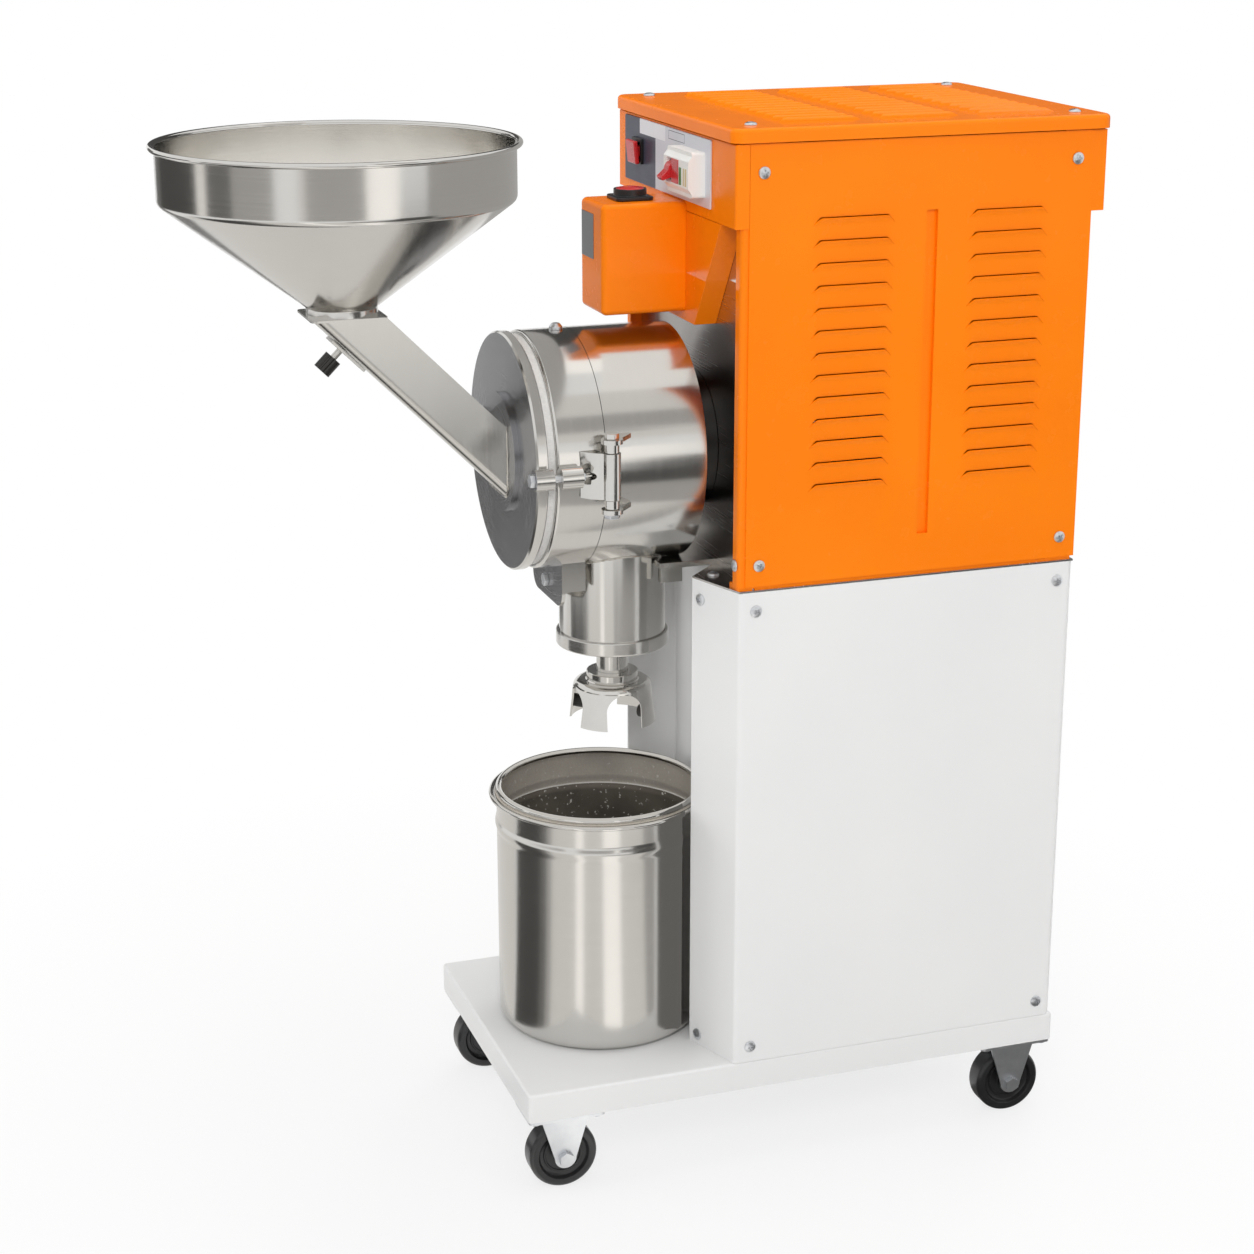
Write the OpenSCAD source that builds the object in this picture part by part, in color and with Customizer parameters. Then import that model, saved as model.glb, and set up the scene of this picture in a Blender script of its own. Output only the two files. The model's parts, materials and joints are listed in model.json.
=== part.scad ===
// Pulverizer flour mill: a belt-driven hammer mill on a wheeled cabinet.
// The front, with the grinding chamber, hopper and controls, faces -Y and +Z is up.
// Origin: on the floor, under the middle of the bounding box.

/* [Sheet and fasteners] */
// Thickness of the folded cabinet sheet
sheet_t = 1.5; // [1:0.1:2]
// Radius of the folds in the cabinet sheet
fold_r = 4; // [3:0.5:8]
// Gap left between sheets that only lie beside each other
lay_gap = 0.3; // [0.2:0.05:0.4]
// Shank diameter of the panel screws
screw_d = 5; // [4:0.5:6]
// Head diameter of the panel screws
screw_head_d = 12.5; // [9:0.5:13]
// Head height of the panel screws
screw_head_h = 3.4; // [2.5:0.1:4]
// Shank length of the panel screws
screw_l = 9; // [6:1:12]
// Play round a screw shank
screw_play = 0.3; // [0.2:0.05:0.5]
// Running clearance on the radius of shafts and pins
run_gap = 0.05; // [0.03:0.01:0.1]

/* [Base tray] */
// Width of the tray and of the cabinets
base_w = 350; // [330:1:380]
// Depth of the tray, front to back
base_d = 612; // [590:1:640]
// Height of the tray's skirt
base_h = 32; // [26:1:40]
// Width of the flange folded in under the skirt
tray_lip = 64; // [60:1:70]

/* [Casters] */
// Wheel diameter
wheel_d = 75; // [65:1:80]
// Wheel width
wheel_w = 26; // [20:1:30]
// Axle diameter
axle_d = 10; // [8:1:12]
// Height from the floor to the underside of the tray
caster_h = 90; // [88:1:100]
// Top plate length, front to back
caster_plate_l = 84; // [76:1:90]
// Top plate width
caster_plate_w = 58; // [54:1:62]
// Top plate and fork thickness
caster_t = 3; // [2.5:0.1:3.5]

/* [Lower cabinet] */
// Depth of the open platform in front of the cabinet's corners
platform_d = 230; // [215:1:245]
// Height of the lower cabinet above the tray
lower_h = 529; // [505:1:550]
// Half the width of the bucket recess
recess_half_w = 104; // [98:1:112]
// How far the wing tips stand in front of the cabinet's corners
wing_run = 25; // [15:1:32]
// Depth of the recess behind the wing tips
recess_d = 57; // [50:1:70]
// How far the cabinet stops short of the tray's rear edge
rear_set = 4; // [2:1:10]

/* [Upper cabinet] */
// Height of the upper cabinet
upper_h = 445; // [425:1:465]
// Seam between the two cabinets
seam_h = 4; // [2:0.5:6]
// Width of the front flange of the corner posts
post_flange = 15; // [10:1:20]
// How far the side panels start behind the posts' front
post_show = 8; // [6:1:12]
// How far the polished front plate lies behind the posts' front
plate_set = 17; // [12:1:24]
// Thickness of the front plate and the ledge plate
plate_t = 2; // [1.5:0.5:3]

/* [Louvres] */
// Louvre length along its fold
louvre_l = 88; // [75:1:90]
// Louvre height along its tongue
louvre_h = 8; // [7:0.5:11]
// How far a louvre's free edge stands out
louvre_out = 4; // [3:0.5:6]
// Distance between louvres
louvre_pitch = 22.4; // [20:0.2:23]
// Louvres in one column
louvre_n = 13; // [8:1:13]
// Distance between the two columns on a side panel
louvre_cols = 169; // [150:1:175]
// Width of the pressed groove between the columns
groove_w = 12; // [8:1:16]
// Depth of the groove
groove_d = 4.5; // [3:0.5:5]

/* [Lid] */
// How far the lid stands out over the sides
lid_over = 4; // [3:0.5:6]
// Height of the lid's skirt
lid_h = 14; // [12:1:18]
// Radius of the lid's corners
lid_r = 12; // [8:1:16]

/* [Control hood and starter] */
// Height of the front and rear hoods
hood_h = 82; // [76:1:90]
// How far the front hood stands in front of the posts
hood_out = 7; // [4:0.5:10]
// How far the rear hood stands behind the cabinet
rear_hood_out = 15; // [10:1:20]
// Control panel width
panel_w = 260; // [240:1:270]
// Control panel height
panel_h = 68; // [60:1:72]
// Breaker width
breaker_w = 72; // [54:1:80]
// Breaker height
breaker_h = 45; // [40:1:48]
// Breaker depth in front of the panel
breaker_out = 18; // [14:1:24]
// Rocker switch bezel width
rocker_w = 30; // [24:1:34]
// Rocker switch bezel height
rocker_h = 27; // [24:1:32]
// Starter box width
starter_w = 72; // [64:1:84]
// Starter box height
starter_h = 113; // [100:1:120]
// Starter box depth
starter_d = 90; // [80:1:96]
// Half the width of the starter's neck at its foot
neck_foot = 62; // [54:1:76]
// Half the width of the starter's neck at its head
neck_head = 136; // [120:1:150]
// Stop button diameter
stop_d = 29; // [24:1:32]
// Stop button travel
stop_travel = 4; // [3:0.5:5]

/* [Grinding chamber] */
// Outer radius of the chamber
chamber_r = 124; // [118:1:128]
// Height of the chamber's axis above the floor
chamber_z = 774; // [765:1:785]
// Wall of the chamber and of the door ring
chamber_t = 3; // [2.5:0.5:4]
// Depth of the chamber behind the door seam
chamber_d = 107; // [100:1:110]
// Depth of the swinging door ring
ring_d = 52; // [46:1:58]
// Distance of the door seam behind the tray's front edge
seam_y = 106; // [100:1:112]
// Outlet spout radius
spout_r = 57; // [50:1:60]
// Distance of the outlet behind the door seam
spout_set = 46; // [42:1:50]
// Height of the outlet's lower end above the floor
spout_z = 557; // [540:1:570]
// Outlet tube radius
tube_r = 17; // [14:1:20]
// Hinge pin diameter
hinge_pin_d = 10; // [8:1:12]
// How far the hinge pin stands outside the chamber
hinge_out = 16; // [14:1:20]

/* [Hopper and chute] */
// Radius of the hopper's rolled rim
hopper_r = 184; // [170:1:190]
// Height of the hopper's rim above the floor
hopper_z = 1099; // [1080:1:1110]
// Height of the hopper's straight wall
hopper_wall_h = 56; // [45:1:65]
// Wall thickness of hopper and chute
hopper_t = 2; // [1.5:0.1:2.5]
// Radius of the hopper's neck
neck_r = 36; // [32:1:38]
// Distance of the hopper's axis in front of the tray's front edge
hopper_set = 131; // [125:1:140]
// Chute width
chute_w = 74; // [72:1:84]
// Chute depth, square to its run
chute_h = 52; // [50:1:54]
// Height of the joint between hopper and chute
chute_top_z = 928; // [922:1:936]
// Travel of the feed gate
gate_travel = 20; // [10:1:24]

/* [Bucket] */
// Bucket radius
bucket_r = 112; // [100:1:114]
// Bucket height
bucket_h = 273; // [240:1:290]
// Bucket wall
bucket_t = 1.5; // [1:0.1:2]
// Radius of the bucket's rolled rim, in section
bucket_rim = 4.5; // [3:0.5:5]
// Distance of the bucket's axis behind the tray's front edge
bucket_set = 136; // [128:1:137]

/* [Drive] */
// Main shaft diameter
shaft_d = 25; // [20:1:30]
// Beater circle radius
beater_r = 100; // [90:1:102]
// Number of beater rows
beater_n = 6; // [4:1:8]
// Pitch radius of the pulley on the main shaft
shaft_pulley_r = 40; // [35:1:50]
// Pitch radius of the motor pulley
motor_pulley_r = 50; // [40:1:60]
// Motor body radius
motor_r = 88; // [75:1:95]
// Motor body length
motor_l = 190; // [150:1:200]
// Height of the motor's axis above the tray
motor_z_up = 125; // [115:1:150]
// Belt width
belt_w = 17; // [13:1:22]

/* [Hidden] */
$fn = 64;
eps = 0.01;

orange = [0.96, 0.47, 0.04];
white = [0.9, 0.9, 0.89];
steel = [0.78, 0.78, 0.77];
dark_steel = [0.4, 0.4, 0.41];
zinc = [0.72, 0.73, 0.75];
black = [0.06, 0.06, 0.06];
red = [0.8, 0.08, 0.08];

// Depths. tray_y is the tray's front edge, so that the whole mill is centred on Y = 0.
half_w = base_w / 2;
front_reach = hopper_set + hopper_r;
rear_reach = base_d - rear_set + rear_hood_out + lid_over;
tray_y = (front_reach - rear_reach) / 2;
corner_y = tray_y + platform_d;
tip_y = corner_y - wing_run;
recess_y = tip_y + recess_d;
cab_rear_y = tray_y + base_d - rear_set;
post_y = corner_y - 2;
plate_y = post_y + plate_set;
hood_y = post_y - hood_out;
lid_front_y = hood_y - lid_over;
lid_rear_y = cab_rear_y + rear_hood_out + lid_over;
door_y = tray_y + seam_y;
ring_y = door_y - ring_d;
spout_y = door_y + spout_set;
hopper_y = tray_y - hopper_set;
bucket_y = tray_y + bucket_set;

// Heights
tray_z = caster_h + base_h;
lower_z = tray_z + lower_h;
upper_z = lower_z + seam_h;
roof_z = upper_z + upper_h;
hood_z = roof_z - hood_h;
lid_z = roof_z + 1;
lid_top_z = lid_z + lid_h;

// Caster layout
caster_x = half_w - caster_plate_w / 2;
caster_in = caster_plate_l / 2 + 1;
wheel_z = wheel_d / 2;
fork_gap = 3;
fork_x = wheel_w / 2 + fork_gap;
caster_spots = [for (sy = [0, 1]) for (sx = [1, -1])
    [sx * caster_x, sy == 0 ? tray_y + caster_in : tray_y + base_d - caster_in]];
bolt_in = 8;

// Panel screw places, as distances in from the panel's edges
screw_in = 18;
screw_in_front = 14.5;
screw_up = 22;
roof_screw_down = 28;
lid_screw_in = 26;
lid_screw_set = 29;
lower_screw_y = [corner_y + screw_in, cab_rear_y - screw_in];
lower_screw_z = [tray_z + screw_in, lower_z - screw_up];
upper_screw_y = [post_y + post_show + screw_in_front, cab_rear_y - screw_in];
upper_screw_z = [upper_z + screw_up, roof_z - roof_screw_down];
lid_screw_x = half_w - lid_screw_in;
lid_screw_y = [lid_front_y + lid_screw_set, lid_rear_y - lid_screw_set];
rear_screw_x = half_w - 20;
rear_flange = 32;
lower_rear_z = [tray_z + screw_in, lower_z - screw_up];
upper_rear_z = upper_z + screw_up;
flange_screw_x = half_w - post_flange / 2 - 1;
bushing_r = screw_d / 2 + screw_play;

// Wings: unit vector along the wing from corner to tip, and its outward normal
wing_v = [recess_half_w - half_w, -wing_run];
wing_u = wing_v / norm(wing_v);
wing_n = [-wing_u[1], wing_u[0]];
wing_screw_in = 14;
wing_screw_at = [recess_half_w, tip_y] - wing_u * wing_screw_in;
wing_screw_z = [tray_z + 12, lower_z - screw_up];

// Control hood face
panel_t = 2;
panel_x = -20;
panel_z = hood_z + hood_h / 2 + 4;
panel_y = hood_y - panel_t;
rocker_x = panel_x - panel_w / 2 + 45;
rocker_lip = 3;
rocker_depth = 10;
rocker_tilt = 6;
breaker_x = panel_x + panel_w / 2 - breaker_w / 2 - 14;
breaker_z = panel_z - 2;
toggle_x = breaker_x - breaker_w / 2 + 15;
toggle_w = 14;
toggle_y = panel_y - breaker_out + 6;
toggle_r = 9;
toggle_slot = 13;
toggle_tilt = 30;
toggle_pin_r = 1.5;

// Starter
starter_z = hood_z + 9.5 - starter_h;
starter_y = hood_y - starter_d;
starter_edge = 6;
neck_low = hood_z - 113;
stop_y = starter_y + 42;
stop_z = starter_z + starter_h;
stop_base_w = 40;
stop_base_h = 4;
stop_collar_h = 8;
stop_stem_r = 6;

// Door and cover
lip_t = 4;
gasket_t = 8;
gasket_in_r = chamber_r - 16;
gasket_out_r = chamber_r - 4;
cover_rim_t = 10;
cover_step_t = 3;
cover_back_y = ring_y - gasket_t;
cover_y = cover_back_y - cover_step_t - cover_rim_t;
boss_r = 62;
boss_t = 5;
boss_y = cover_y - boss_t;
step_r = chamber_r - 5;
spigot_r = gasket_in_r - 3;
spigot_t = 4;
hinge_x = chamber_r + hinge_out;
lug_r = 11;
hinge_h = 76;
knuckle_h = 14;
leaf_h = hinge_h - 2 * knuckle_h - 2 * lay_gap;
hinge_plate_l = 26;
hinge_sunk = 14;
leaf_x = chamber_r - chamber_t + 0.2;
knuckle_r = hinge_pin_d / 2 + 6;
lug_x = chamber_r + lug_r - chamber_t + 1;
lug_y = cover_y - 6;
lug_bolt_d = 8;
lug_l = 22;
foot_half_w = 52;
foot_drop = 38;
foot_set = 26;
foot_t = 4;
foot_r = 18;
foot_top = 80;

// Chute: it runs down at 45 degrees from the hopper's neck to the cover's boss
chute_a = 45;
chute_run = (boss_y - hopper_y) / cos(chute_a);
chute_r = 10;
gate_t = 1.5;
gate_l = 46;
gate_at = 24;
gate_slot_w = 8;
gate_stem_r = 3.5;
gate_stem_l = 22;
gate_knob_r = 9.5;
gate_knob_h = 18;

// Drive
hub_r = 72;
belt_t = 8;
pulley_w = belt_w + 10;
motor_gap = 11;
pulley_gap = 12;
motor_z = tray_z + motor_z_up;
motor_front_y = recess_y + sheet_t + motor_gap;
belt_y = motor_front_y + motor_l + pulley_gap + pulley_w / 2;
bearing_w = 32;
bearing_in = 56;
bearing_clear = 19.5;
bearing_ys = [plate_y + plate_t + bearing_in, belt_y - pulley_w / 2 - bearing_clear - bearing_w];
bearing_wall = 16;
bearing_foot_w = 100;
bearing_neck_w = 48;
bearing_base_h = 40;
disc_t = 6;
disc_n = 4;
beater_w = 26;
beater_pin_r = 5;
rotor_y0 = ring_y + 26;
rotor_y1 = door_y + chamber_d - 22;
motor_shaft_r = 14;

function unit(v) = v / norm(v);
function backwards(list) = [for (i = [len(list) - 1:-1:0]) list[i]];
function side_of(v) = [-v[1], v[0]] / norm(v);

// Points of the arc that rounds the corner b between a and c
function bend(a, b, c, r, n = 6) =
    let (u = unit(a - b), w = unit(c - b), half = acos(u * w) / 2)
    let (o = b + unit(u + w) * r / sin(half), s = b + u * r / tan(half) - o, e = b + w * r / tan(half) - o)
    let (a0 = atan2(s[1], s[0]), turn = (atan2(e[1], e[0]) - a0 + 540) % 360 - 180)
    [for (i = [0:n]) o + r * [cos(a0 + turn * i / n), sin(a0 + turn * i / n)]];

// The path moved sideways by d, with mitred corners
function beside(path, d) =
    [for (i = [0:len(path) - 1])
        let (a = path[max(i, 1)] - path[max(i, 1) - 1])
        let (k = min(i, len(path) - 2), b = path[k + 1] - path[k], na = side_of(a), nb = side_of(b))
        path[i] + d * (na + nb) / (1 + na * nb)];

// Outline of a folded sheet of thickness t, centred on a path
module folded(path, t) polygon(concat(beside(path, t / 2), backwards(beside(path, -t / 2))));

// Rectangle with round corners, centred
module round_rect(w, h, r) {
    square([w - 2 * r, h], center = true);
    square([w, h - 2 * r], center = true);
    for (sx = [-1, 1]) for (sy = [-1, 1]) translate([sx * (w / 2 - r), sy * (h / 2 - r)]) circle(r);
}

// Extrude an outline drawn in Y and Z along +X, or one drawn in X and Z along +Y
module along_x(x, len) translate([x, 0, 0]) rotate([90, 0, 90]) linear_extrude(len) children();
module along_y(y, len) translate([0, y + len, 0]) rotate([90, 0, 0]) linear_extrude(len) children();

// Turn a profile of radius and depth about the chamber's axis
module turned(y) translate([0, y, chamber_z]) rotate([-90, 0, 0]) rotate_extrude($fn = 128) children();
module rod_y(r, y0, y1, x = 0, z = 0) translate([x, y0, z]) rotate([-90, 0, 0]) cylinder(r = r, h = y1 - y0);
module rod_x(r, x0, x1, y = 0, z = 0) translate([x0, y, z]) rotate([0, 90, 0]) cylinder(r = r, h = x1 - x0);

module both_sides() {
    children();
    mirror([1, 0, 0]) children();
}

// Pan head screw that seats on z = 0, its shank below
module pan_screw() rotate_extrude($fn = 32)
    polygon([[0, -screw_l], [screw_d / 2, -screw_l], [screw_d / 2, 0], [screw_head_d / 2, 0],
        [screw_head_d / 2, screw_head_h * 0.4], [screw_head_d * 0.36, screw_head_h * 0.85],
        [0, screw_head_h]]);

// Places of the screws on a right-hand side panel, pointing out along +X
module on_side(ys, zs) for (y = ys) for (z = zs) translate([half_w, y, z]) rotate([0, 90, 0]) children();
module on_wing() for (z = wing_screw_z) translate([wing_screw_at[0], wing_screw_at[1], z])
    rotate([0, 0, atan2(wing_n[1], wing_n[0])]) rotate([0, 90, 0]) children();
module on_lid() for (y = lid_screw_y) translate([lid_screw_x, y, lid_top_z]) children();
module on_flange() translate([flange_screw_x, post_y, upper_rear_z]) rotate([90, 0, 0]) children();
module on_rear(z) translate([rear_screw_x, cab_rear_y, z]) rotate([-90, 0, 0]) children();
module screw_hole() translate([0, 0, -screw_l]) cylinder(r = bushing_r, h = 2 * screw_l);

// One louvre on the plane x = 0: a tongue cut on three sides and bent out about its fold at z = 0
louvre_slant = 7.5;
louvre_r = 4;
louvre_cut = 0.4;
louvre_root = 0.8;
function louvre_end(g) =
    let (low = [louvre_l / 2 - g, 0], high = [louvre_l / 2 - g - louvre_slant, louvre_h - g])
    concat([low], bend(low, high, [0, high[1]], louvre_r, 4));
function louvre_outline(g) = concat(louvre_end(g), backwards([for (q = louvre_end(g)) [-q[0], q[1]]]));
function louvre_foot(g) = let (y = louvre_l / 2 - g) [[-y, -louvre_root], [y, -louvre_root]];
module louvre() rotate([0, asin(louvre_out / louvre_h), 0]) along_x(-sheet_t, sheet_t)
    polygon(concat(louvre_outline(louvre_cut), louvre_foot(louvre_cut)));
module louvre_slot() along_x(-2 * sheet_t, 3 * sheet_t) polygon(louvre_outline(0));

// Base tray: a folded pan, open below between its flanges
module base_tray() color(white) difference() {
    translate([0, tray_y + base_d / 2, caster_h]) linear_extrude(base_h) round_rect(base_w, base_d, fold_r);
    translate([0, tray_y + base_d / 2, caster_h + sheet_t]) linear_extrude(base_h - 2 * sheet_t)
        round_rect(base_w - 2 * sheet_t, base_d - 2 * sheet_t, fold_r - sheet_t);
    translate([0, tray_y + base_d / 2, caster_h - eps]) linear_extrude(2 * sheet_t)
        square([base_w - 2 * tray_lip, base_d - 3 * tray_lip], center = true);
    caster_bolt_spots() cylinder(r = bushing_r, h = 4 * caster_t, center = true);
}

module caster_bolt_spots()
    for (p = caster_spots) for (sx = [-1, 1]) for (sy = [-1, 1])
        translate([p[0] + sx * (caster_plate_w / 2 - bolt_in), p[1] + sy * (caster_plate_l / 2 - bolt_in),
            caster_h]) children();

// Rigid casters: plate and two tapered fork legs, with an axle, bolts and a wheel each
module fork_leg() {
    low_r = axle_d / 2 + 7;
    polygon([[-caster_plate_l * 0.32, caster_h - caster_t], [caster_plate_l * 0.32, caster_h - caster_t],
        [low_r, wheel_z], [-low_r, wheel_z]]);
    translate([0, wheel_z]) circle(low_r);
}
module caster_brackets() color(zinc) for (p = caster_spots) translate([p[0], p[1], 0]) difference() {
    union() {
        translate([0, 0, caster_h - caster_t]) linear_extrude(caster_t)
            round_rect(caster_plate_w, caster_plate_l, 5);
        for (x = [fork_x, -fork_x - caster_t]) along_x(x, caster_t) fork_leg();
    }
    rod_x(axle_d / 2 + run_gap, -wheel_w * 2, wheel_w * 2, 0, wheel_z);
    translate([-p[0], -p[1], 0]) caster_bolt_spots() cylinder(r = bushing_r, h = 4 * caster_t, center = true);
}
module caster_axles() color(steel) for (p = caster_spots) translate([p[0], p[1], wheel_z]) {
    reach = fork_x + caster_t;
    rod_x(axle_d / 2, -reach, reach);
    for (x = [reach, -reach - 6]) translate([x, 0, 0]) rotate([0, 90, 0]) cylinder(d = 17, h = 6, $fn = 6);
}
module caster_bolts() color(steel) caster_bolt_spots()
    rotate([180, 0, 0]) translate([0, 0, caster_t]) pan_screw();
module wheel(i) color(black) translate([caster_spots[i][0], caster_spots[i][1], wheel_z]) rotate([0, 90, 0])
    rotate_extrude($fn = 96) {
        w = wheel_w / 2;
        r = wheel_d / 2;
        bore = axle_d / 2 + run_gap;
        hub = fork_x - lay_gap;
        half = concat([[bore, -hub], [bore + 5, -hub], [bore + 6, -w + 5], [r - 12, -w + 4], [r - 9, -w]],
            bend([r - 9, -w], [r, -w], [r, 0], 5));
        polygon(concat(half, backwards([for (q = half) [q[0], -q[1]]])));
    }
module wheel_front_right() wheel(0);
module wheel_front_left() wheel(1);
module wheel_rear_right() wheel(2);
module wheel_rear_left() wheel(3);

// Lower cabinet: each side is one sheet, folded round the corner into the slanted wing
module lower_side_right() color(white) difference() {
    inset = sheet_t / 2;
    corner = [half_w, corner_y] - [1, 0] * inset + [0, 1] * inset * (1 - wing_n[0]) / -wing_n[1];
    tip = [recess_half_w, tip_y] - wing_n * inset;
    rear = [half_w - inset, cab_rear_y - sheet_t - inset];
    flange = [half_w - rear_flange, rear[1]];
    translate([0, 0, tray_z]) linear_extrude(lower_h - plate_t)
        folded(concat([flange], bend(flange, rear, corner, fold_r), bend(rear, corner, tip, fold_r), [tip]),
            sheet_t);
    on_side(lower_screw_y, lower_screw_z) screw_hole();
    on_wing() screw_hole();
    for (z = lower_rear_z) on_rear(z) screw_hole();
}
module lower_side_left() mirror([1, 0, 0]) lower_side_right();

// Recess behind the bucket, with flanges that lie behind the wings
module recess_panel() color(white) difference() {
    inset = sheet_t / 2;
    behind = [recess_half_w, tip_y] - wing_n * (1.5 * sheet_t);
    flange = behind - wing_u * (2 * wing_screw_in);
    front = behind + wing_u * inset;
    back = [front[0], recess_y + inset];
    half = concat([flange, front], bend(front, back, [0, back[1]], fold_r));
    translate([0, 0, tray_z]) linear_extrude(lower_h - plate_t)
        folded(concat(half, backwards([for (q = half) [-q[0], q[1]]])), sheet_t);
    both_sides() on_wing() screw_hole();
}
module lower_rear_panel() color(white) difference() {
    translate([0, cab_rear_y - sheet_t / 2, tray_z + (lower_h - plate_t) / 2])
        cube([base_w - 2 * fold_r, sheet_t, lower_h - plate_t], center = true);
    both_sides() for (z = lower_rear_z) on_rear(z) screw_hole();
}

// Polished plate that closes the lower cabinet and makes the ledge in front of the upper one
ledge_cut = 34;
ledge_bolt_at = [half_w - 68, corner_y - 3];
module ledge_plate() color(dark_steel) difference() {
    translate([0, 0, lower_z - plate_t]) linear_extrude(plate_t)
        polygon([[half_w, cab_rear_y], [half_w, corner_y], [recess_half_w, tip_y],
            [recess_half_w - ledge_cut, tip_y + ledge_cut], [ledge_cut - recess_half_w, tip_y + ledge_cut],
            [-recess_half_w, tip_y], [-half_w, corner_y], [-half_w, cab_rear_y]]);
    belt_room(lower_z - plate_t);
    both_sides() translate([ledge_bolt_at[0], ledge_bolt_at[1], lower_z]) screw_hole();
}
module belt_room(z) translate([-motor_pulley_r - 2 * belt_t, belt_y - pulley_w, z - 1])
    cube([2 * motor_pulley_r + 4 * belt_t, 2 * pulley_w, plate_t + 2]);

// Upper cabinet: corner posts, louvred sides, polished front plate, rear panel and lid
post_x = half_w - sheet_t;
post_leg = 30;
post_root = 2;
sill_w = 24;
roof_bar_w = 16;
roof_bar_h = 5;
post_h = lid_top_z - sheet_t - upper_z + post_root;
module post(edge, corner, leg) translate([0, 0, upper_z - post_root]) linear_extrude(post_h)
    folded(concat([edge], bend(edge, corner, leg, fold_r), [leg]), sheet_t);
module frame_side() {
    x = post_x - sheet_t / 2;
    front = post_y + sheet_t / 2;
    rear = cab_rear_y - 1.5 * sheet_t;
    post([half_w - post_flange, front], [x, front], [x, plate_y + post_leg]);
    post([half_w - rear_flange, rear], [x, rear], [x, rear - post_leg]);
    for (y = [[post_y + 1, plate_y - lay_gap], [plate_y + plate_t + lay_gap, cab_rear_y - 2 * sheet_t]])
        translate([x - sill_w, y[0], lower_z]) cube([sill_w, y[1] - y[0], seam_h]);
}
module upper_frame() color(orange) difference() {
    union() {
        both_sides() frame_side();
        for (y = lid_screw_y)
            translate([sheet_t / 2 - post_x, y - roof_bar_w / 2, lid_top_z - sheet_t - roof_bar_h])
                cube([2 * post_x - sheet_t, roof_bar_w, roof_bar_h]);
    }
    both_sides() {
        on_side(upper_screw_y, upper_screw_z) screw_hole();
        on_rear(upper_rear_z) screw_hole();
        on_flange() screw_hole();
        on_lid() screw_hole();
    }
}

louvre_set = 9;
louvre_drop = 82;
groove_drop = 72;
groove_up = 40;
louvre_mid_y = (post_y + post_show + cab_rear_y) / 2 + louvre_set;
louvre_z0 = roof_z - louvre_drop - louvre_pitch * (louvre_n - 1);
groove_low = upper_z + groove_up;
groove_h = roof_z - groove_drop - groove_low;
module upper_side_right() color(orange) {
    y0 = post_y + post_show;
    difference() {
        union() {
            translate([post_x, y0, upper_z]) cube([sheet_t, cab_rear_y - y0, upper_h - lay_gap]);
            translate([post_x - groove_d, louvre_mid_y - groove_w / 2 - sheet_t, groove_low - sheet_t])
                cube([groove_d + eps, groove_w + 2 * sheet_t, groove_h + 2 * sheet_t]);
        }
        translate([half_w - groove_d, louvre_mid_y - groove_w / 2, groove_low])
            cube([2 * groove_d, groove_w, groove_h]);
        on_side(upper_screw_y, upper_screw_z) screw_hole();
        side_louvres() louvre_slot();
    }
    side_louvres() louvre();
}
module side_louvres() for (s = [-1, 1]) for (i = [0:louvre_n - 1])
    translate([half_w, louvre_mid_y + s * louvre_cols / 2, louvre_z0 + i * louvre_pitch]) children();
module upper_side_left() mirror([1, 0, 0]) upper_side_right();
module upper_rear_panel() color(orange) difference() {
    translate([0, cab_rear_y - sheet_t / 2, upper_z + (upper_h - lay_gap) / 2])
        cube([base_w - 2 * sheet_t - lay_gap, sheet_t, upper_h - lay_gap], center = true);
    both_sides() on_rear(upper_rear_z) screw_hole();
}
module front_plate() color(steel) difference() {
    translate([0, plate_y + plate_t / 2, (lower_z + roof_z - lay_gap) / 2])
        cube([2 * (post_x - sheet_t - lay_gap), plate_t, roof_z - lower_z - lay_gap], center = true);
    rod_y(shaft_d / 2 + 4, plate_y - 1, plate_y + plate_t + 1, 0, chamber_z);
}

lid_len = lid_rear_y - lid_front_y;
lid_bands = 3;
lid_band_gap = 19;
lid_mid_y = (lid_front_y + lid_rear_y) / 2;
lid_louvre_set = 8;
module on_lid_louvres() for (b = [0:lid_bands - 1]) for (i = [0:louvre_n - 1])
    translate([(i - (louvre_n - 1) / 2) * louvre_pitch + louvre_h / 2,
        lid_mid_y + lid_louvre_set + (b - (lid_bands - 1) / 2) * (louvre_l + lid_band_gap), lid_top_z])
        rotate([0, -90, 0]) children();
module top_lid() color(orange) {
    w = base_w + 2 * lid_over;
    difference() {
        translate([0, lid_mid_y, lid_z]) difference() {
            linear_extrude(lid_h) round_rect(w, lid_len, lid_r);
            translate([0, 0, -sheet_t]) linear_extrude(lid_h)
                round_rect(w - 2 * sheet_t, lid_len - 2 * sheet_t, lid_r - sheet_t);
        }
        both_sides() on_lid() screw_hole();
        on_lid_louvres() louvre_slot();
    }
    on_lid_louvres() louvre();
}

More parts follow.
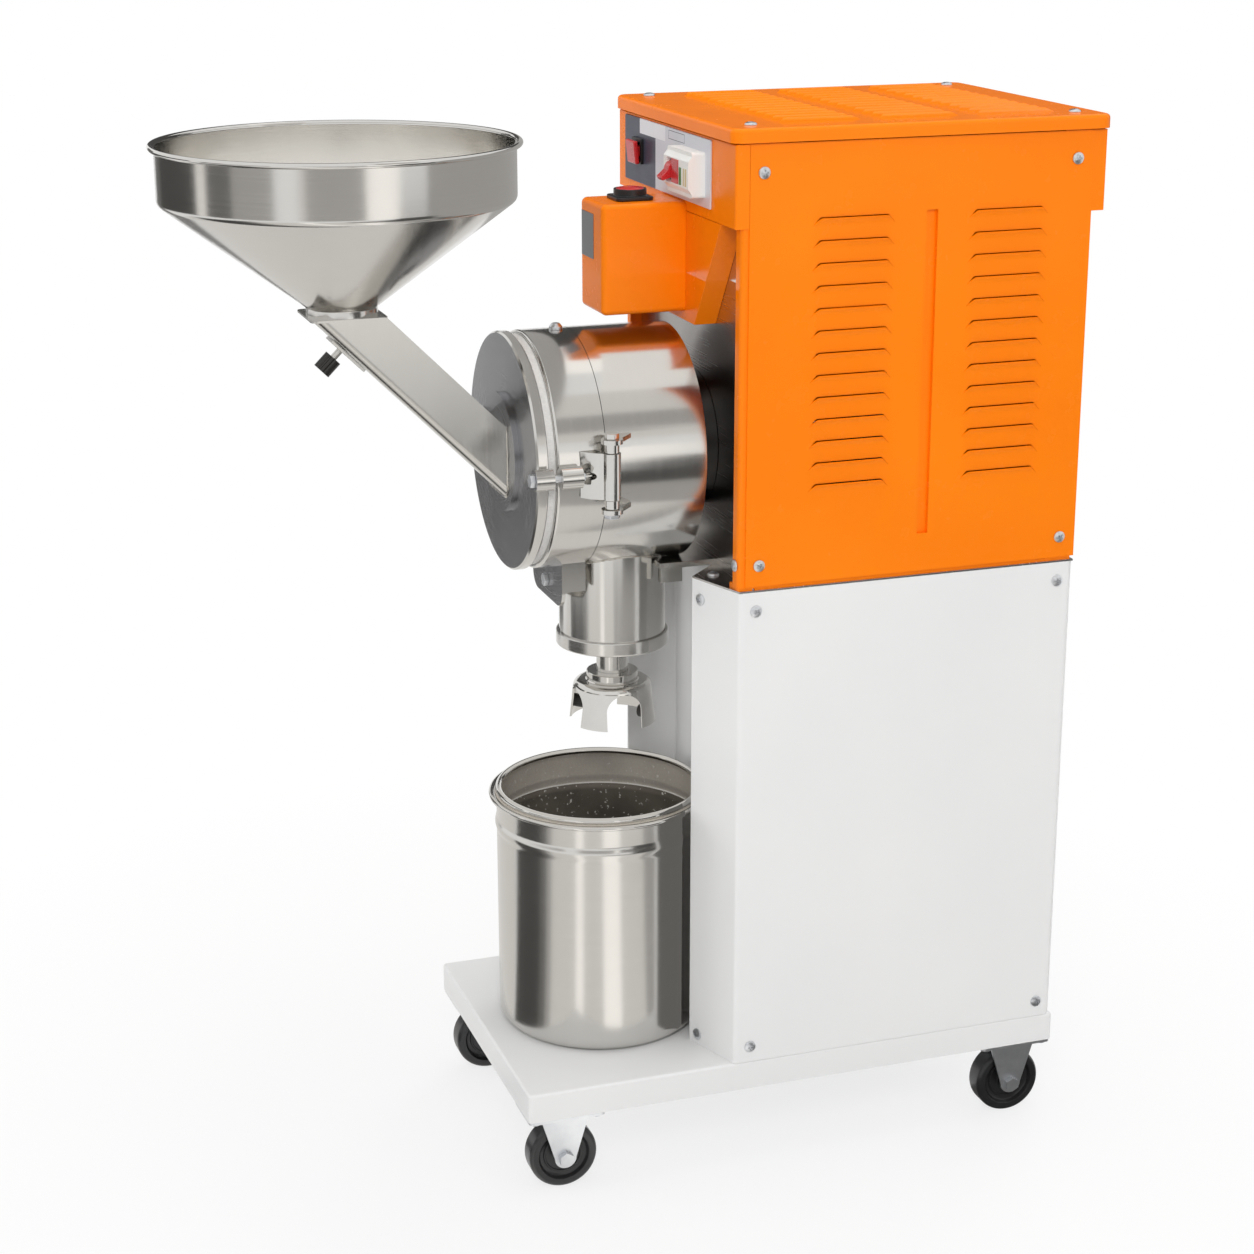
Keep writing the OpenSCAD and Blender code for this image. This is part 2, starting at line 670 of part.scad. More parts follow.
// Hoods: covers across the cabinet's front and rear under the lid, open at the back
hood_side_y = post_y + post_show - lay_gap;
module control_hood() color(orange) translate([0, 0, hood_z]) difference() {
    translate([-half_w, hood_y, 0]) cube([base_w, hood_side_y - hood_y, hood_h - lay_gap]);
    translate([-post_x, hood_y + sheet_t, sheet_t])
        cube([2 * post_x, plate_set, hood_h - 2 * sheet_t - lay_gap]);
    translate([-post_x, post_y, -1]) cube([2 * post_x, plate_set, hood_h + 1]);
    translate([0, 0, -hood_z]) rocker_hole();
}
module rocker_hole() translate([rocker_x, 0, panel_z]) along_y(panel_y - 1, panel_t + sheet_t + 2)
    square([rocker_w - 2 * rocker_lip + 1, rocker_h - 2 * rocker_lip + 1], center = true);
module rear_hood() color(orange) translate([0, 0, hood_z]) difference() {
    translate([-post_x, cab_rear_y, 0]) cube([2 * post_x, rear_hood_out, hood_h - lay_gap]);
    translate([sheet_t - post_x, cab_rear_y - 1, sheet_t])
        cube([2 * (post_x - sheet_t), rear_hood_out + 1 - sheet_t, hood_h - 2 * sheet_t - lay_gap]);
}

// Controls
module control_panel() color([0.72, 0.73, 0.76]) difference() {
    translate([panel_x, 0, panel_z]) along_y(panel_y, panel_t) round_rect(panel_w, panel_h, 2);
    rocker_hole();
}
module rocker_bezel() color(black) translate([rocker_x, 0, panel_z]) difference() {
    union() {
        along_y(panel_y - rocker_lip, rocker_lip) round_rect(rocker_w, rocker_h, 3);
        along_y(panel_y - eps, rocker_depth)
            square([rocker_w - 2 * rocker_lip, rocker_h - 2 * rocker_lip], center = true);
    }
    along_y(panel_y - rocker_lip - 1, rocker_lip + rocker_depth - 1)
        square([rocker_w - 2 * rocker_lip - 2, rocker_h - 2 * rocker_lip - 2], center = true);
    rod_x(1 + run_gap, -rocker_w / 2 + 1, rocker_w / 2 - 1, panel_y + 2);
}
module rocker() color(red) translate([rocker_x, panel_y + 2, panel_z]) {
    w = rocker_w - 2 * rocker_lip - 3;
    h = rocker_h / 2 - rocker_lip - 2;
    along_x(-w / 2, w) rotate(rocker_tilt)
        polygon([[-8.5, h], [-6.5, 0], [-8.5, -h], [2, -h / 2], [2, h / 2]]);
    rod_x(1, -w / 2 - 1, w / 2 + 1);
}
module breaker_body() color([0.93, 0.93, 0.91]) translate([breaker_x, 0, breaker_z]) difference() {
    union() {
        along_y(panel_y - breaker_out + 4, breaker_out - 4) round_rect(breaker_w, breaker_h, 3);
        along_x(-breaker_w / 2, breaker_w) polygon([[panel_y - breaker_out, -breaker_h * 0.3],
            [panel_y - breaker_out + 5, -breaker_h * 0.44], [panel_y - breaker_out + 5, breaker_h * 0.44],
            [panel_y - breaker_out, breaker_h * 0.3]]);
    }
    translate([toggle_x - breaker_x, 0, 0]) {
        along_x(-toggle_w / 2 - lay_gap, toggle_w + 2 * lay_gap) toggle_room();
        rod_x(toggle_pin_r + run_gap, -toggle_w / 2 - 3, toggle_w / 2 + 3, toggle_y);
    }
}
module toggle_room() {
    face = panel_y - breaker_out - 1;
    translate([toggle_y, 0]) circle(toggle_r + lay_gap);
    polygon([[toggle_y, -toggle_r], [face, -toggle_slot], [face, toggle_slot], [toggle_y, toggle_r]]);
}
module breaker_toggle() color(red) translate([toggle_x, toggle_y, breaker_z]) {
    along_x(-toggle_w / 2, toggle_w) {
        circle(toggle_r);
        rotate(toggle_tilt) polygon([[-toggle_r - 9, -1.5], [-toggle_r - 9, 2.5], [-2, 6], [-2, -5]]);
    }
    rod_x(toggle_pin_r, -toggle_w / 2 - 2.5, toggle_w / 2 + 2.5);
}

// Starter box on its tapered neck, with the stop button on top
module starter_neck() color(orange) difference() {
    low = neck_low;
    high = hood_z - lay_gap;
    along_y(hood_y, plate_y - hood_y)
        polygon([[-neck_foot, low], [neck_foot, low], [neck_head, high], [-neck_head, high]]);
    foot = neck_foot - 2 * sheet_t;
    head = neck_head - 2 * sheet_t;
    along_y(hood_y + sheet_t, plate_y - hood_y)
        polygon([[-foot, low + sheet_t], [foot, low + sheet_t], [head, high + 1], [-head, high + 1]]);
}
module starter_box() color(orange) translate([0, starter_y, starter_z]) difference() {
    e = starter_edge;
    hull() {
        for (x = [e - starter_w / 2, starter_w / 2 - e]) for (z = [e, starter_h - e]) {
            translate([x, e, z]) sphere(e, $fn = 24);
            translate([x, starter_d - e, z]) rotate([-90, 0, 0]) cylinder(r = e, h = e, $fn = 24);
        }
    }
    translate([2 * sheet_t - starter_w / 2, 2 * sheet_t, 2 * sheet_t])
        cube([starter_w - 4 * sheet_t, starter_d, starter_h - 4 * sheet_t]);
    translate([0, stop_y - starter_y, starter_h - 20]) cylinder(r = stop_stem_r + 3, h = 40);
}
module stop_base() color(black) translate([0, stop_y, stop_z]) difference() {
    union() {
        linear_extrude(stop_base_h) round_rect(stop_base_w, stop_base_w, 6);
        cylinder(d = stop_d + 5, h = stop_collar_h);
        translate([0, 0, -14]) cylinder(r = stop_stem_r + 3 - lay_gap, h = 15);
    }
    translate([0, 0, stop_base_h - 1]) cylinder(d = stop_d + 2 * lay_gap, h = stop_collar_h);
    translate([0, 0, -20]) cylinder(r = stop_stem_r + run_gap, h = 40);
}
module stop_button() color(red) translate([0, stop_y, stop_z]) rotate_extrude() {
    r = stop_d / 2;
    low = stop_base_h - 1 + stop_travel + lay_gap;
    top = stop_collar_h + stop_travel;
    polygon(concat([[0, -8], [stop_stem_r, -8], [stop_stem_r, low], [r, low]],
        bend([r, low], [r, top], [0, top + 1], 2.5), [[0, top + 1]]));
}

// Every pan head screw of the cabinets
module panel_screws() color(zinc) {
    both_sides() {
        on_side(lower_screw_y, lower_screw_z) pan_screw();
        on_side(upper_screw_y, upper_screw_z) pan_screw();
        on_wing() pan_screw();
        on_lid() pan_screw();
        for (z = concat(lower_rear_z, [upper_rear_z])) on_rear(z) pan_screw();
        on_flange() pan_screw();
        translate([ledge_bolt_at[0], ledge_bolt_at[1], lower_z]) pan_screw();
    }
}

// Grinding chamber: drum with a rear wall, outlet spout and the fixed hinge knuckles
module drum(r, y0, y1) translate([0, y0, chamber_z]) rotate([-90, 0, 0])
    cylinder(r = r, h = y1 - y0, $fn = 128);
module on_hinge() translate([hinge_x, door_y, chamber_z]) children();
rear_wall_t = 6;
module chamber_body() color(steel) difference() {
    end = door_y + chamber_d;
    union() {
        drum(chamber_r, door_y + lay_gap, end);
        translate([0, spout_y, spout_z]) cylinder(r = spout_r, h = chamber_z - spout_z);
        for (z = [-1, 1]) translate([0, 0, chamber_z + z * (hinge_h - knuckle_h) / 2 - knuckle_h / 2])
            linear_extrude(knuckle_h) {
                translate([hinge_x, door_y]) circle(knuckle_r);
                polygon([[hinge_x, door_y - knuckle_r], [hinge_x + knuckle_r, door_y],
                    [chamber_r - 2, door_y + hinge_plate_l], [chamber_r - hinge_sunk, door_y + hinge_plate_l],
                    [chamber_r - hinge_sunk, door_y + lay_gap], [hinge_x - knuckle_r, door_y + lay_gap]]);
            }
        rod_y(lug_r, door_y + lay_gap, door_y + lug_l, -lug_x, chamber_z);
    }
    drum(chamber_r - chamber_t, door_y - 1, end - rear_wall_t);
    drum(chamber_r + 2 * lay_gap, ring_y, door_y + lay_gap);
    translate([0, spout_y, spout_z - 1]) cylinder(r = spout_r - hopper_t, h = chamber_z - spout_z);
    rod_y(shaft_d / 2 + 2, end - 2 * rear_wall_t, end + 1, 0, chamber_z);
    on_hinge() cylinder(d = hinge_pin_d + 2 * run_gap, h = 2 * hinge_h, center = true);
}
module chamber_hub() color(dark_steel) difference() {
    rod_y(hub_r, door_y + chamber_d, plate_y, 0, chamber_z);
    rod_y(shaft_d / 2 + 2, door_y, plate_y + 1, 0, chamber_z);
}
bracket_t = 6;
module chamber_bracket() color(steel) difference() {
    y0 = spout_y + 30;
    union() {
        translate([-70, y0, lower_z]) cube([140, plate_y - y0, bracket_t]);
        for (x = [-60, 52]) translate([x, y0 + 4, lower_z - 18]) cube([8, 24, 18 + bracket_t]);
    }
    translate([0, spout_y, lower_z - 30]) cylinder(r = spout_r + 2, h = 60);
    drum(chamber_r + lay_gap, door_y, door_y + chamber_d + lay_gap);
}

// Outlet: cap with a tube, and the spider that carries the flour bag
cap_h = 15;
cap_floor = 2;
cap_t = 3;
cap_z = spout_z - cap_floor;
tube_l = 36;
module outlet_cap() color(steel) translate([0, spout_y, cap_z]) rotate_extrude($fn = 96) {
    in_r = spout_r + lay_gap;
    out_r = in_r + cap_t;
    bore = tube_r - cap_floor;
    polygon(concat([[bore, -tube_l], [tube_r, -tube_l], [tube_r, 0], [in_r, 0]],
        bend([in_r, 0], [out_r, 0], [out_r, cap_h], cap_floor),
        [[out_r, cap_h], [in_r, cap_h], [in_r, cap_floor], [bore, cap_floor]]));
}
collar_r = 29;
collar_h = 24;
collar_z = cap_z - tube_l - 8;
petal_n = 4;
petal_drop = 44;
petal_t = 2;
petal_w = 30;
petal_out = 13;
petal_flare = 4;
module outlet_spider() color(steel) translate([0, spout_y, collar_z]) {
    difference() {
        cylinder(r = collar_r, h = collar_h);
        translate([0, 0, 6]) cylinder(r = collar_r - 3, h = collar_h);
        translate([0, 0, -1]) cylinder(r = tube_r + lay_gap, h = collar_h);
    }
    for (a = [0:360 / petal_n:359]) rotate(a + 45) petal();
    difference() {
        for (a = [0:90:270]) rotate(a) translate([0, -2, 8]) cube([collar_r - 2, 4, collar_h - 12]);
        translate([0, 0, 6]) cylinder(r = tube_r, h = collar_h);
    }
}
module petal() {
    root = [collar_r - 2, petal_t];
    tip = [collar_r + petal_out + petal_flare, -petal_drop];
    path = concat([root], bend(root, [collar_r + petal_out, petal_t], tip, 12, 8), [tip]);
    rotate([90, 0, 0]) translate([0, 0, -petal_w / 2]) linear_extrude(petal_w) folded(path, petal_t);
}
stud_z = -petal_drop + 14;
stud_sunk = 0.7;
stud_at = collar_r + petal_out + petal_flare * (petal_t - stud_z) / (petal_drop + petal_t) - stud_sunk;
module spider_studs() color(black) translate([0, spout_y, collar_z + stud_z]) for (a = [45, 225])
    rotate(a) translate([stud_at, 0, 0]) rotate([0, -90, 0]) cylinder(r = 7, h = 12);
module hinge_pin() color(steel) translate([hinge_x, door_y, chamber_z - hinge_h / 2 - 5]) {
    cylinder(d = hinge_pin_d, h = hinge_h + 10);
    translate([0, 0, hinge_h + 5]) cylinder(d = hinge_pin_d + 5, h = 6, $fn = 6);
}

// Perforated screen that lies in the drum
screen_r = beater_r + 12;
module screen() color(steel) difference() {
    y0 = door_y + 4;
    y1 = door_y + chamber_d - rear_wall_t;
    drum(screen_r, y0, y1);
    drum(screen_r - hopper_t, y0 - 1, y1 + 1);
    for (a = [0:12:348]) translate([0, y0 + 10, chamber_z]) rotate([0, a, 0])
        translate([-2, 0, screen_r - 10]) cube([4, y1 - y0 - 20, 20]);
}

// Drive: shaft and rotor, bearings, pulleys, belt and motor
module main_shaft() color(steel) rod_y(shaft_d / 2, rotor_y0 - 12, belt_y + pulley_w / 2 + 8, 0, chamber_z);
module rotor() color(dark_steel) {
    gap = (rotor_y1 - rotor_y0 - disc_t) / (disc_n - 1);
    difference() {
        union() {
            rod_y(shaft_d / 2 + 12, rotor_y0, rotor_y1, 0, chamber_z);
            for (i = [0:disc_n - 1])
                rod_y(beater_r * 0.62, rotor_y0 + i * gap, rotor_y0 + i * gap + disc_t, 0, chamber_z);
            for (a = [0:360 / beater_n:359]) translate([0, 0, chamber_z]) rotate([0, a, 0]) {
                rod_y(beater_pin_r, rotor_y0, rotor_y1, 0, beater_r * 0.5);
                for (i = [0:disc_n - 2])
                    translate([-beater_w / 2, rotor_y0 + (i + 0.5) * gap, beater_r * 0.4])
                        cube([beater_w, disc_t, beater_r * 0.598]);
            }
        }
        rod_y(shaft_d / 2, rotor_y0 - 1, rotor_y1 + 1, 0, chamber_z);
    }
}
module shaft_bearings() color(dark_steel) for (y = bearing_ys) difference() {
    union() {
        rod_y(shaft_d / 2 + bearing_wall, y, y + bearing_w, 0, chamber_z);
        translate([-bearing_foot_w / 2, y, lower_z])
            cube([bearing_foot_w, bearing_w, chamber_z - lower_z - bearing_base_h]);
        translate([-bearing_neck_w / 2, y, chamber_z - bearing_base_h - 1])
            cube([bearing_neck_w, bearing_w, bearing_base_h]);
    }
    rod_y(shaft_d / 2 + run_gap, y - 1, y + bearing_w + 1, 0, chamber_z);
}
module pulley(r, bore, z) translate([0, belt_y - pulley_w / 2, z]) rotate([-90, 0, 0])
    rotate_extrude($fn = 96) {
        rim_r = r + belt_t / 2;
        floor_r = r - belt_t / 2 - lay_gap;
        side = (pulley_w - belt_w) / 2 - lay_gap;
        polygon([[bore, 0], [rim_r, 0], [rim_r, side], [floor_r, side], [floor_r, pulley_w - side],
            [rim_r, pulley_w - side], [rim_r, pulley_w], [bore, pulley_w]]);
    }
module shaft_pulley() color(dark_steel) pulley(shaft_pulley_r, shaft_d / 2, chamber_z);
module motor_pulley() color(dark_steel) {
    pulley(motor_pulley_r, 0, motor_z);
    rod_y(motor_shaft_r, motor_front_y + motor_l - 30, belt_y, 0, motor_z);
}
module drive_belt() color(black) along_y(belt_y - belt_w / 2, belt_w) difference() {
    belt_loop(belt_t / 2);
    belt_loop(-belt_t / 2);
}
module belt_loop(d) hull() {
    translate([0, chamber_z]) circle(shaft_pulley_r + d, $fn = 48);
    translate([0, motor_z]) circle(motor_pulley_r + d, $fn = 48);
}
module motor() color(dark_steel) difference() {
    union() {
        rod_y(motor_r, motor_front_y, motor_front_y + motor_l, 0, motor_z);
        for (a = [0:15:345]) translate([0, motor_front_y + 20, motor_z]) rotate([0, a, 0])
            translate([-1.5, 0, motor_r - 2]) cube([3, motor_l - 40, 8]);
        for (x = [-motor_r - 8, motor_r - 22]) translate([x, motor_front_y + 30, tray_z + motor_foot_z])
            cube([30, motor_l - 60, motor_z_up - motor_foot_z]);
    }
    rod_y(motor_shaft_r + run_gap, motor_front_y + motor_l - 31, motor_front_y + motor_l + 1, 0, motor_z);
}
motor_foot_z = 12;
module motor_base() color(zinc) translate([-motor_r - 20, motor_front_y + 10, tray_z])
    cube([2 * motor_r + 40, motor_l - 20, motor_foot_z]);

// Door: the ring swings on the hinge pin and carries the cover, chute and hopper
module door_ring() color(steel) difference() {
    wall_r = chamber_r - chamber_t;
    lip_r = gasket_in_r - 2;
    ring_end = ring_d - lay_gap;
    union() {
        turned(ring_y) polygon(concat([[lip_r, 0]], bend([lip_r, 0], [chamber_r, 0], [chamber_r, ring_d], 3),
            [[chamber_r, ring_end], [wall_r, ring_end], [wall_r, lip_t], [lip_r, lip_t]]));
        on_hinge() cylinder(d = 2 * knuckle_r - 4, h = leaf_h, center = true);
        hinge_leaf();
        rod_y(lug_r, ring_y, ring_y + lug_l, lug_x, chamber_z);
        rod_y(lug_r, ring_y, door_y - lay_gap, -lug_x, chamber_z);
        door_foot();
    }
    on_hinge() cylinder(d = hinge_pin_d + 2 * run_gap, h = 2 * hinge_h, center = true);
    both_sides() rod_y(lug_bolt_d / 2 + run_gap, ring_y - 1, door_y, lug_x, chamber_z);
    rod_y(lug_bolt_d / 2 + run_gap, ring_y, door_y, 0, chamber_z - chamber_r - foot_drop / 2);
}
module hinge_leaf() translate([0, door_y, chamber_z - leaf_h / 2]) linear_extrude(leaf_h)
    polygon([[hinge_x - 4, 2 - knuckle_r], [hinge_x + 2, 4 - knuckle_r], [hinge_x - 6, -20],
        [chamber_r, -28], [leaf_x, -26], [leaf_x, -12]]);
// U-shaped bracket under the ring
module door_foot() difference() {
    low = chamber_z - chamber_r - foot_drop;
    top = chamber_z - foot_top;
    y0 = door_y - foot_set;
    inner = foot_half_w - foot_r;
    union() {
        along_y(y0, foot_t) {
            translate([-foot_half_w, low + foot_r]) square([2 * foot_half_w, top - low]);
            translate([-inner, low]) square([2 * inner, top - low]);
            for (s = [-1, 1]) translate([s * inner, low + foot_r]) circle(foot_r);
        }
        both_sides() translate([foot_half_w - foot_t, y0, low + foot_r])
            cube([foot_t, foot_set - lay_gap, top - low]);
    }
    drum(chamber_r - chamber_t / 2, ring_y, door_y + 1);
    translate([-base_w, y0 - 1, top]) cube([2 * base_w, ring_d, base_w]);
}
module cover_disc() color(dark_steel) difference() {
    rim = boss_t + cover_rim_t;
    step = rim + cover_step_t;
    spigot = step + gasket_t + spigot_t;
    union() {
        turned(boss_y) polygon([[0, 0], [boss_r, 0], [boss_r, boss_t], [chamber_r - 2, boss_t],
            [chamber_r, boss_t + 2], [chamber_r, rim], [step_r, rim], [step_r, step],
            [spigot_r, step], [spigot_r, spigot], [0, spigot]]);
        both_sides() rod_y(lug_r, lug_y, cover_back_y, lug_x, chamber_z);
    }
    chute_passage();
    both_sides() rod_y(lug_bolt_d / 2 + run_gap, lug_y - 1, ring_y, lug_x, chamber_z);
}
module cover_gasket() color(black) difference() {
    drum(gasket_out_r, cover_back_y, ring_y);
    drum(gasket_in_r, cover_back_y - 1, ring_y + 1);
}
module hex_bolt(len) {
    cylinder(d = lug_bolt_d, h = len);
    translate([0, 0, -5]) cylinder(d = lug_bolt_d * 1.8, h = 5, $fn = 6);
}
module cover_bolts() color(zinc) {
    translate([lug_x, lug_y, chamber_z]) rotate([-90, 0, 0]) hex_bolt(ring_y + lug_l + 4 - lug_y);
    translate([0, door_y - foot_set, chamber_z - chamber_r - foot_drop / 2]) rotate([-90, 0, 0])
        hex_bolt(foot_t + 4);
    translate([0, door_y - 14, chamber_z + chamber_r - 0.2]) rotate_extrude()
        polygon([[0, 0], [7, 0], [7, 3], [4, 6.5], [0, 7]]);
}
// Hand knob on the far side that draws the door ring against the drum
knob_r = 20;
module door_knob() color(black) translate([-lug_x, lug_y - lay_gap, chamber_z]) rotate([90, 0, 0]) {
    linear_extrude(knob_r) {
        circle(knob_r - 6);
        for (a = [0:72:359]) rotate(a) translate([knob_r - 8, 0]) circle(7);
    }
    translate([0, 0, lug_y - door_y + 1]) cylinder(d = lug_bolt_d, h = door_y - lug_y);
}

// Chute: placed with its upper end under the neck, run along its own Z
module in_chute() translate([0, hopper_y, chute_top_z]) rotate([-90 - chute_a, 0, 0]) rotate(180) children();
module chute_section(g) {
    w = chute_w - 2 * g;
    h = chute_h - 2 * g;
    r = chute_r - g;
    translate([-w / 2, r - h / 2]) square([w, h - r]);
    translate([r - w / 2, -h / 2]) square([w - 2 * r, h]);
    for (s = [-1, 1]) translate([s * (w / 2 - r), r - h / 2]) circle(r);
}
module chute_bar(g) in_chute() translate([0, 0, -chute_h * 2]) linear_extrude(chute_run + 4 * chute_h)
    chute_section(g);
module chute_passage() intersection() {
    chute_bar(hopper_t);
    translate([-base_w, hopper_y, 0]) cube([2 * base_w, 2 * base_w, chute_top_z]);
}
module chute() color(steel) difference() {
    intersection() {
        union() {
            chute_bar(0);
            translate([0, hopper_y, chute_top_z - hopper_t]) linear_extrude(hopper_t)
                round_rect(chute_w, chute_h / sin(chute_a) + 4, 6);
        }
        translate([-base_w, boss_y - 2 * base_w, chute_top_z - base_w])
            cube([2 * base_w, 2 * base_w, base_w]);
    }
    intersection() {
        chute_bar(hopper_t);
        translate([-base_w, boss_y - 2 * base_w, chute_top_z - base_w - hopper_t])
            cube([2 * base_w, 2 * base_w + 1, base_w]);
    }
    translate([0, hopper_y, chute_top_z - 10]) cylinder(r = neck_r - hopper_t, h = 20);
    in_chute() translate([-gate_slot_w / 2, -chute_h / 2 - 1, gate_at - gate_slot_w / 2])
        cube([gate_slot_w, hopper_t + 2, gate_travel + gate_slot_w]);
}
// Feed gate: a shutter that slides along the chute's floor on a stem through its slot
module feed_gate() color(steel) in_chute() translate([0, -chute_h / 2, gate_at]) {
    floor_y = hopper_t + lay_gap;
    gate_w = chute_w - 2 * chute_r - 2;
    translate([-gate_w / 2, floor_y, -gate_l / 2]) cube([gate_w, gate_t, gate_l]);
    translate([-gate_stem_r, floor_y + gate_t - eps, gate_l / 2 - gate_t])
        cube([2 * gate_stem_r, 10, gate_t]);
    translate([0, floor_y + eps, 0]) rotate([90, 0, 0]) cylinder(r = gate_stem_r, h = gate_stem_l + floor_y);
    translate([-12, -2 * gate_t - lay_gap, -16]) cube([24, 2 * gate_t, gate_l]);
}
module gate_knob() color(black) in_chute() translate([0, -chute_h / 2 - gate_stem_l + 9, gate_at])
    rotate([90, 0, 0]) difference() {
        linear_extrude(gate_knob_h) difference() {
            circle(gate_knob_r);
            for (a = [0:36:359]) rotate(a) translate([gate_knob_r + 0.6, 0]) circle(1.6);
        }
        translate([0, 0, -1]) cylinder(r = gate_stem_r + run_gap, h = 10 + lay_gap);
    }

// Hopper: rolled rim, straight wall, cone and neck
hopper_bead = 4;
module hopper() color(steel) translate([0, hopper_y, 0]) rotate_extrude($fn = 128) {
    wall = hopper_r - 2 * hopper_bead + hopper_t / 2;
    wall_z = hopper_z - hopper_wall_h;
    neck_z = chute_top_z + 8;
    translate([hopper_r - hopper_bead, hopper_z - hopper_bead]) circle(hopper_bead, $fn = 32);
    inside = wall - hopper_t;
    polygon([[neck_r - hopper_t, chute_top_z], [neck_r, chute_top_z], [neck_r, neck_z - 1],
        [wall, wall_z - 1], [wall, hopper_z - hopper_bead], [inside, hopper_z - hopper_bead],
        [inside, wall_z], [neck_r - hopper_t, neck_z]]);
}

// Bucket: bottom radius, raised bead and rolled rim
bead_out = 2;
bead_drop = 42;
bead_half = 6;
heel_r = 16;
function bucket_side(g) = let (r = bucket_r - g, bead_z = bucket_h - bead_drop)
    concat([[0, g]], bend([0, g], [r, g], [r, bucket_h], heel_r - g),
        [for (a = [-90:30:90]) [r + bead_out * cos(a), bead_z + bead_half * sin(a)]],
        [[r, bucket_h - bucket_rim]]);
module bucket() color(steel) translate([0, bucket_y, tray_z]) rotate_extrude($fn = 128) {
    polygon(concat(bucket_side(0), backwards(bucket_side(bucket_t))));
    translate([bucket_r + bucket_rim - bucket_t / 2, bucket_h - bucket_rim]) circle(bucket_rim, $fn = 32);
}

base_tray();
caster_brackets();
caster_axles();
caster_bolts();
wheel_front_right();
wheel_front_left();
wheel_rear_right();
wheel_rear_left();
lower_side_right();
lower_side_left();
recess_panel();
lower_rear_panel();
ledge_plate();
upper_frame();
upper_side_right();
upper_side_left();
upper_rear_panel();
front_plate();
top_lid();
control_hood();
rear_hood();
control_panel();
rocker_bezel();
rocker();
breaker_body();
breaker_toggle();
starter_neck();
starter_box();
stop_base();
stop_button();
panel_screws();
chamber_body();
chamber_hub();
chamber_bracket();
outlet_cap();
outlet_spider();
spider_studs();
hinge_pin();
screen();
shaft_bearings();
motor();
motor_base();
drive_belt();
door_ring();
cover_disc();
cover_gasket();
cover_bolts();
door_knob();
chute();
hopper();
feed_gate();
gate_knob();
main_shaft();
rotor();
shaft_pulley();
motor_pulley();
bucket();
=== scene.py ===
"""Looks of a floor-standing flour mill: cabinet, grinding chamber, hopper, bucket and controls.

Everything is in metres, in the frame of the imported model: the front faces -Y and +Z is up.
"""

from __future__ import annotations

import json
import logging
import math
from dataclasses import dataclass
from enum import Enum
from typing import Callable, Sequence, Union

import bpy
from mathutils import Matrix, Vector

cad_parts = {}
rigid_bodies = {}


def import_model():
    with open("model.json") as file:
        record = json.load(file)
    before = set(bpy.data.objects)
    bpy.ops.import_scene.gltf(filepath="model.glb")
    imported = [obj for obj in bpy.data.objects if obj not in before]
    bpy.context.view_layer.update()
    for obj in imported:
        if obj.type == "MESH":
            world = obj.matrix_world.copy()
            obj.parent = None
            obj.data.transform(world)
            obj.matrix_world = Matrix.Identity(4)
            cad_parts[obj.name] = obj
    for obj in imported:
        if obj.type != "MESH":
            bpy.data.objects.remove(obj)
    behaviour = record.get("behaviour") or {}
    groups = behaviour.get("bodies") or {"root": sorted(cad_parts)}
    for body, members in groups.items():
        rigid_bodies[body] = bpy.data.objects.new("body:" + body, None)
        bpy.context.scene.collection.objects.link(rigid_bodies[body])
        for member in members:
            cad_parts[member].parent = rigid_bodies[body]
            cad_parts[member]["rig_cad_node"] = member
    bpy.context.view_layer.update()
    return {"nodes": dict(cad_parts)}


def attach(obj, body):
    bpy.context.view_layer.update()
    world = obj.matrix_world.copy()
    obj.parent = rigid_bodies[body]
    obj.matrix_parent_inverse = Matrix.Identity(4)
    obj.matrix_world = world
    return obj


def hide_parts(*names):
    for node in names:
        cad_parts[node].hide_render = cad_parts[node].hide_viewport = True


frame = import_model()

LOG = logging.getLogger("mill")
Point = Union[Vector, Sequence[float]]

# Points closer than the first are merged, and a point within the second of an edge lies on it.
MERGE = 2e-6
TOUCH = 1e-4
# Faces that bend by fewer degrees are one, and a face looks along an axis from this share on.
FLAT = 0.4
FACING = 0.8


class Edge:
    """How wide sharp edges are broken, from the finest to the roundest."""

    TOOL = 0.0001
    TRIM = 0.0002
    BOLT = 0.0003
    FINE = 0.0004
    PLATE = 0.0005
    METAL = 0.0006
    RIM = 0.0007
    FOLD = 0.0008
    COVER = 0.0009
    MOULD = 0.0012
    KNOB = 0.0015
    ROCKER = 0.0016


def srgb(red: int, green: int, blue: int) -> tuple[float, float, float, float]:
    """Turn a colour as a screen shows it into the linear colour that shaders use.

    Args:
        red: Red from 0 to 255.
        green: Green from 0 to 255.
        blue: Blue from 0 to 255.

    Returns:
        The linear colour with full opacity.
    """

    def linear(level: int) -> float:
        """Return one linear channel."""
        share = level / 255
        return share / 12.92 if share <= 0.04045 else ((share + 0.055) / 1.055) ** 2.4

    return linear(red), linear(green), linear(blue), 1.0


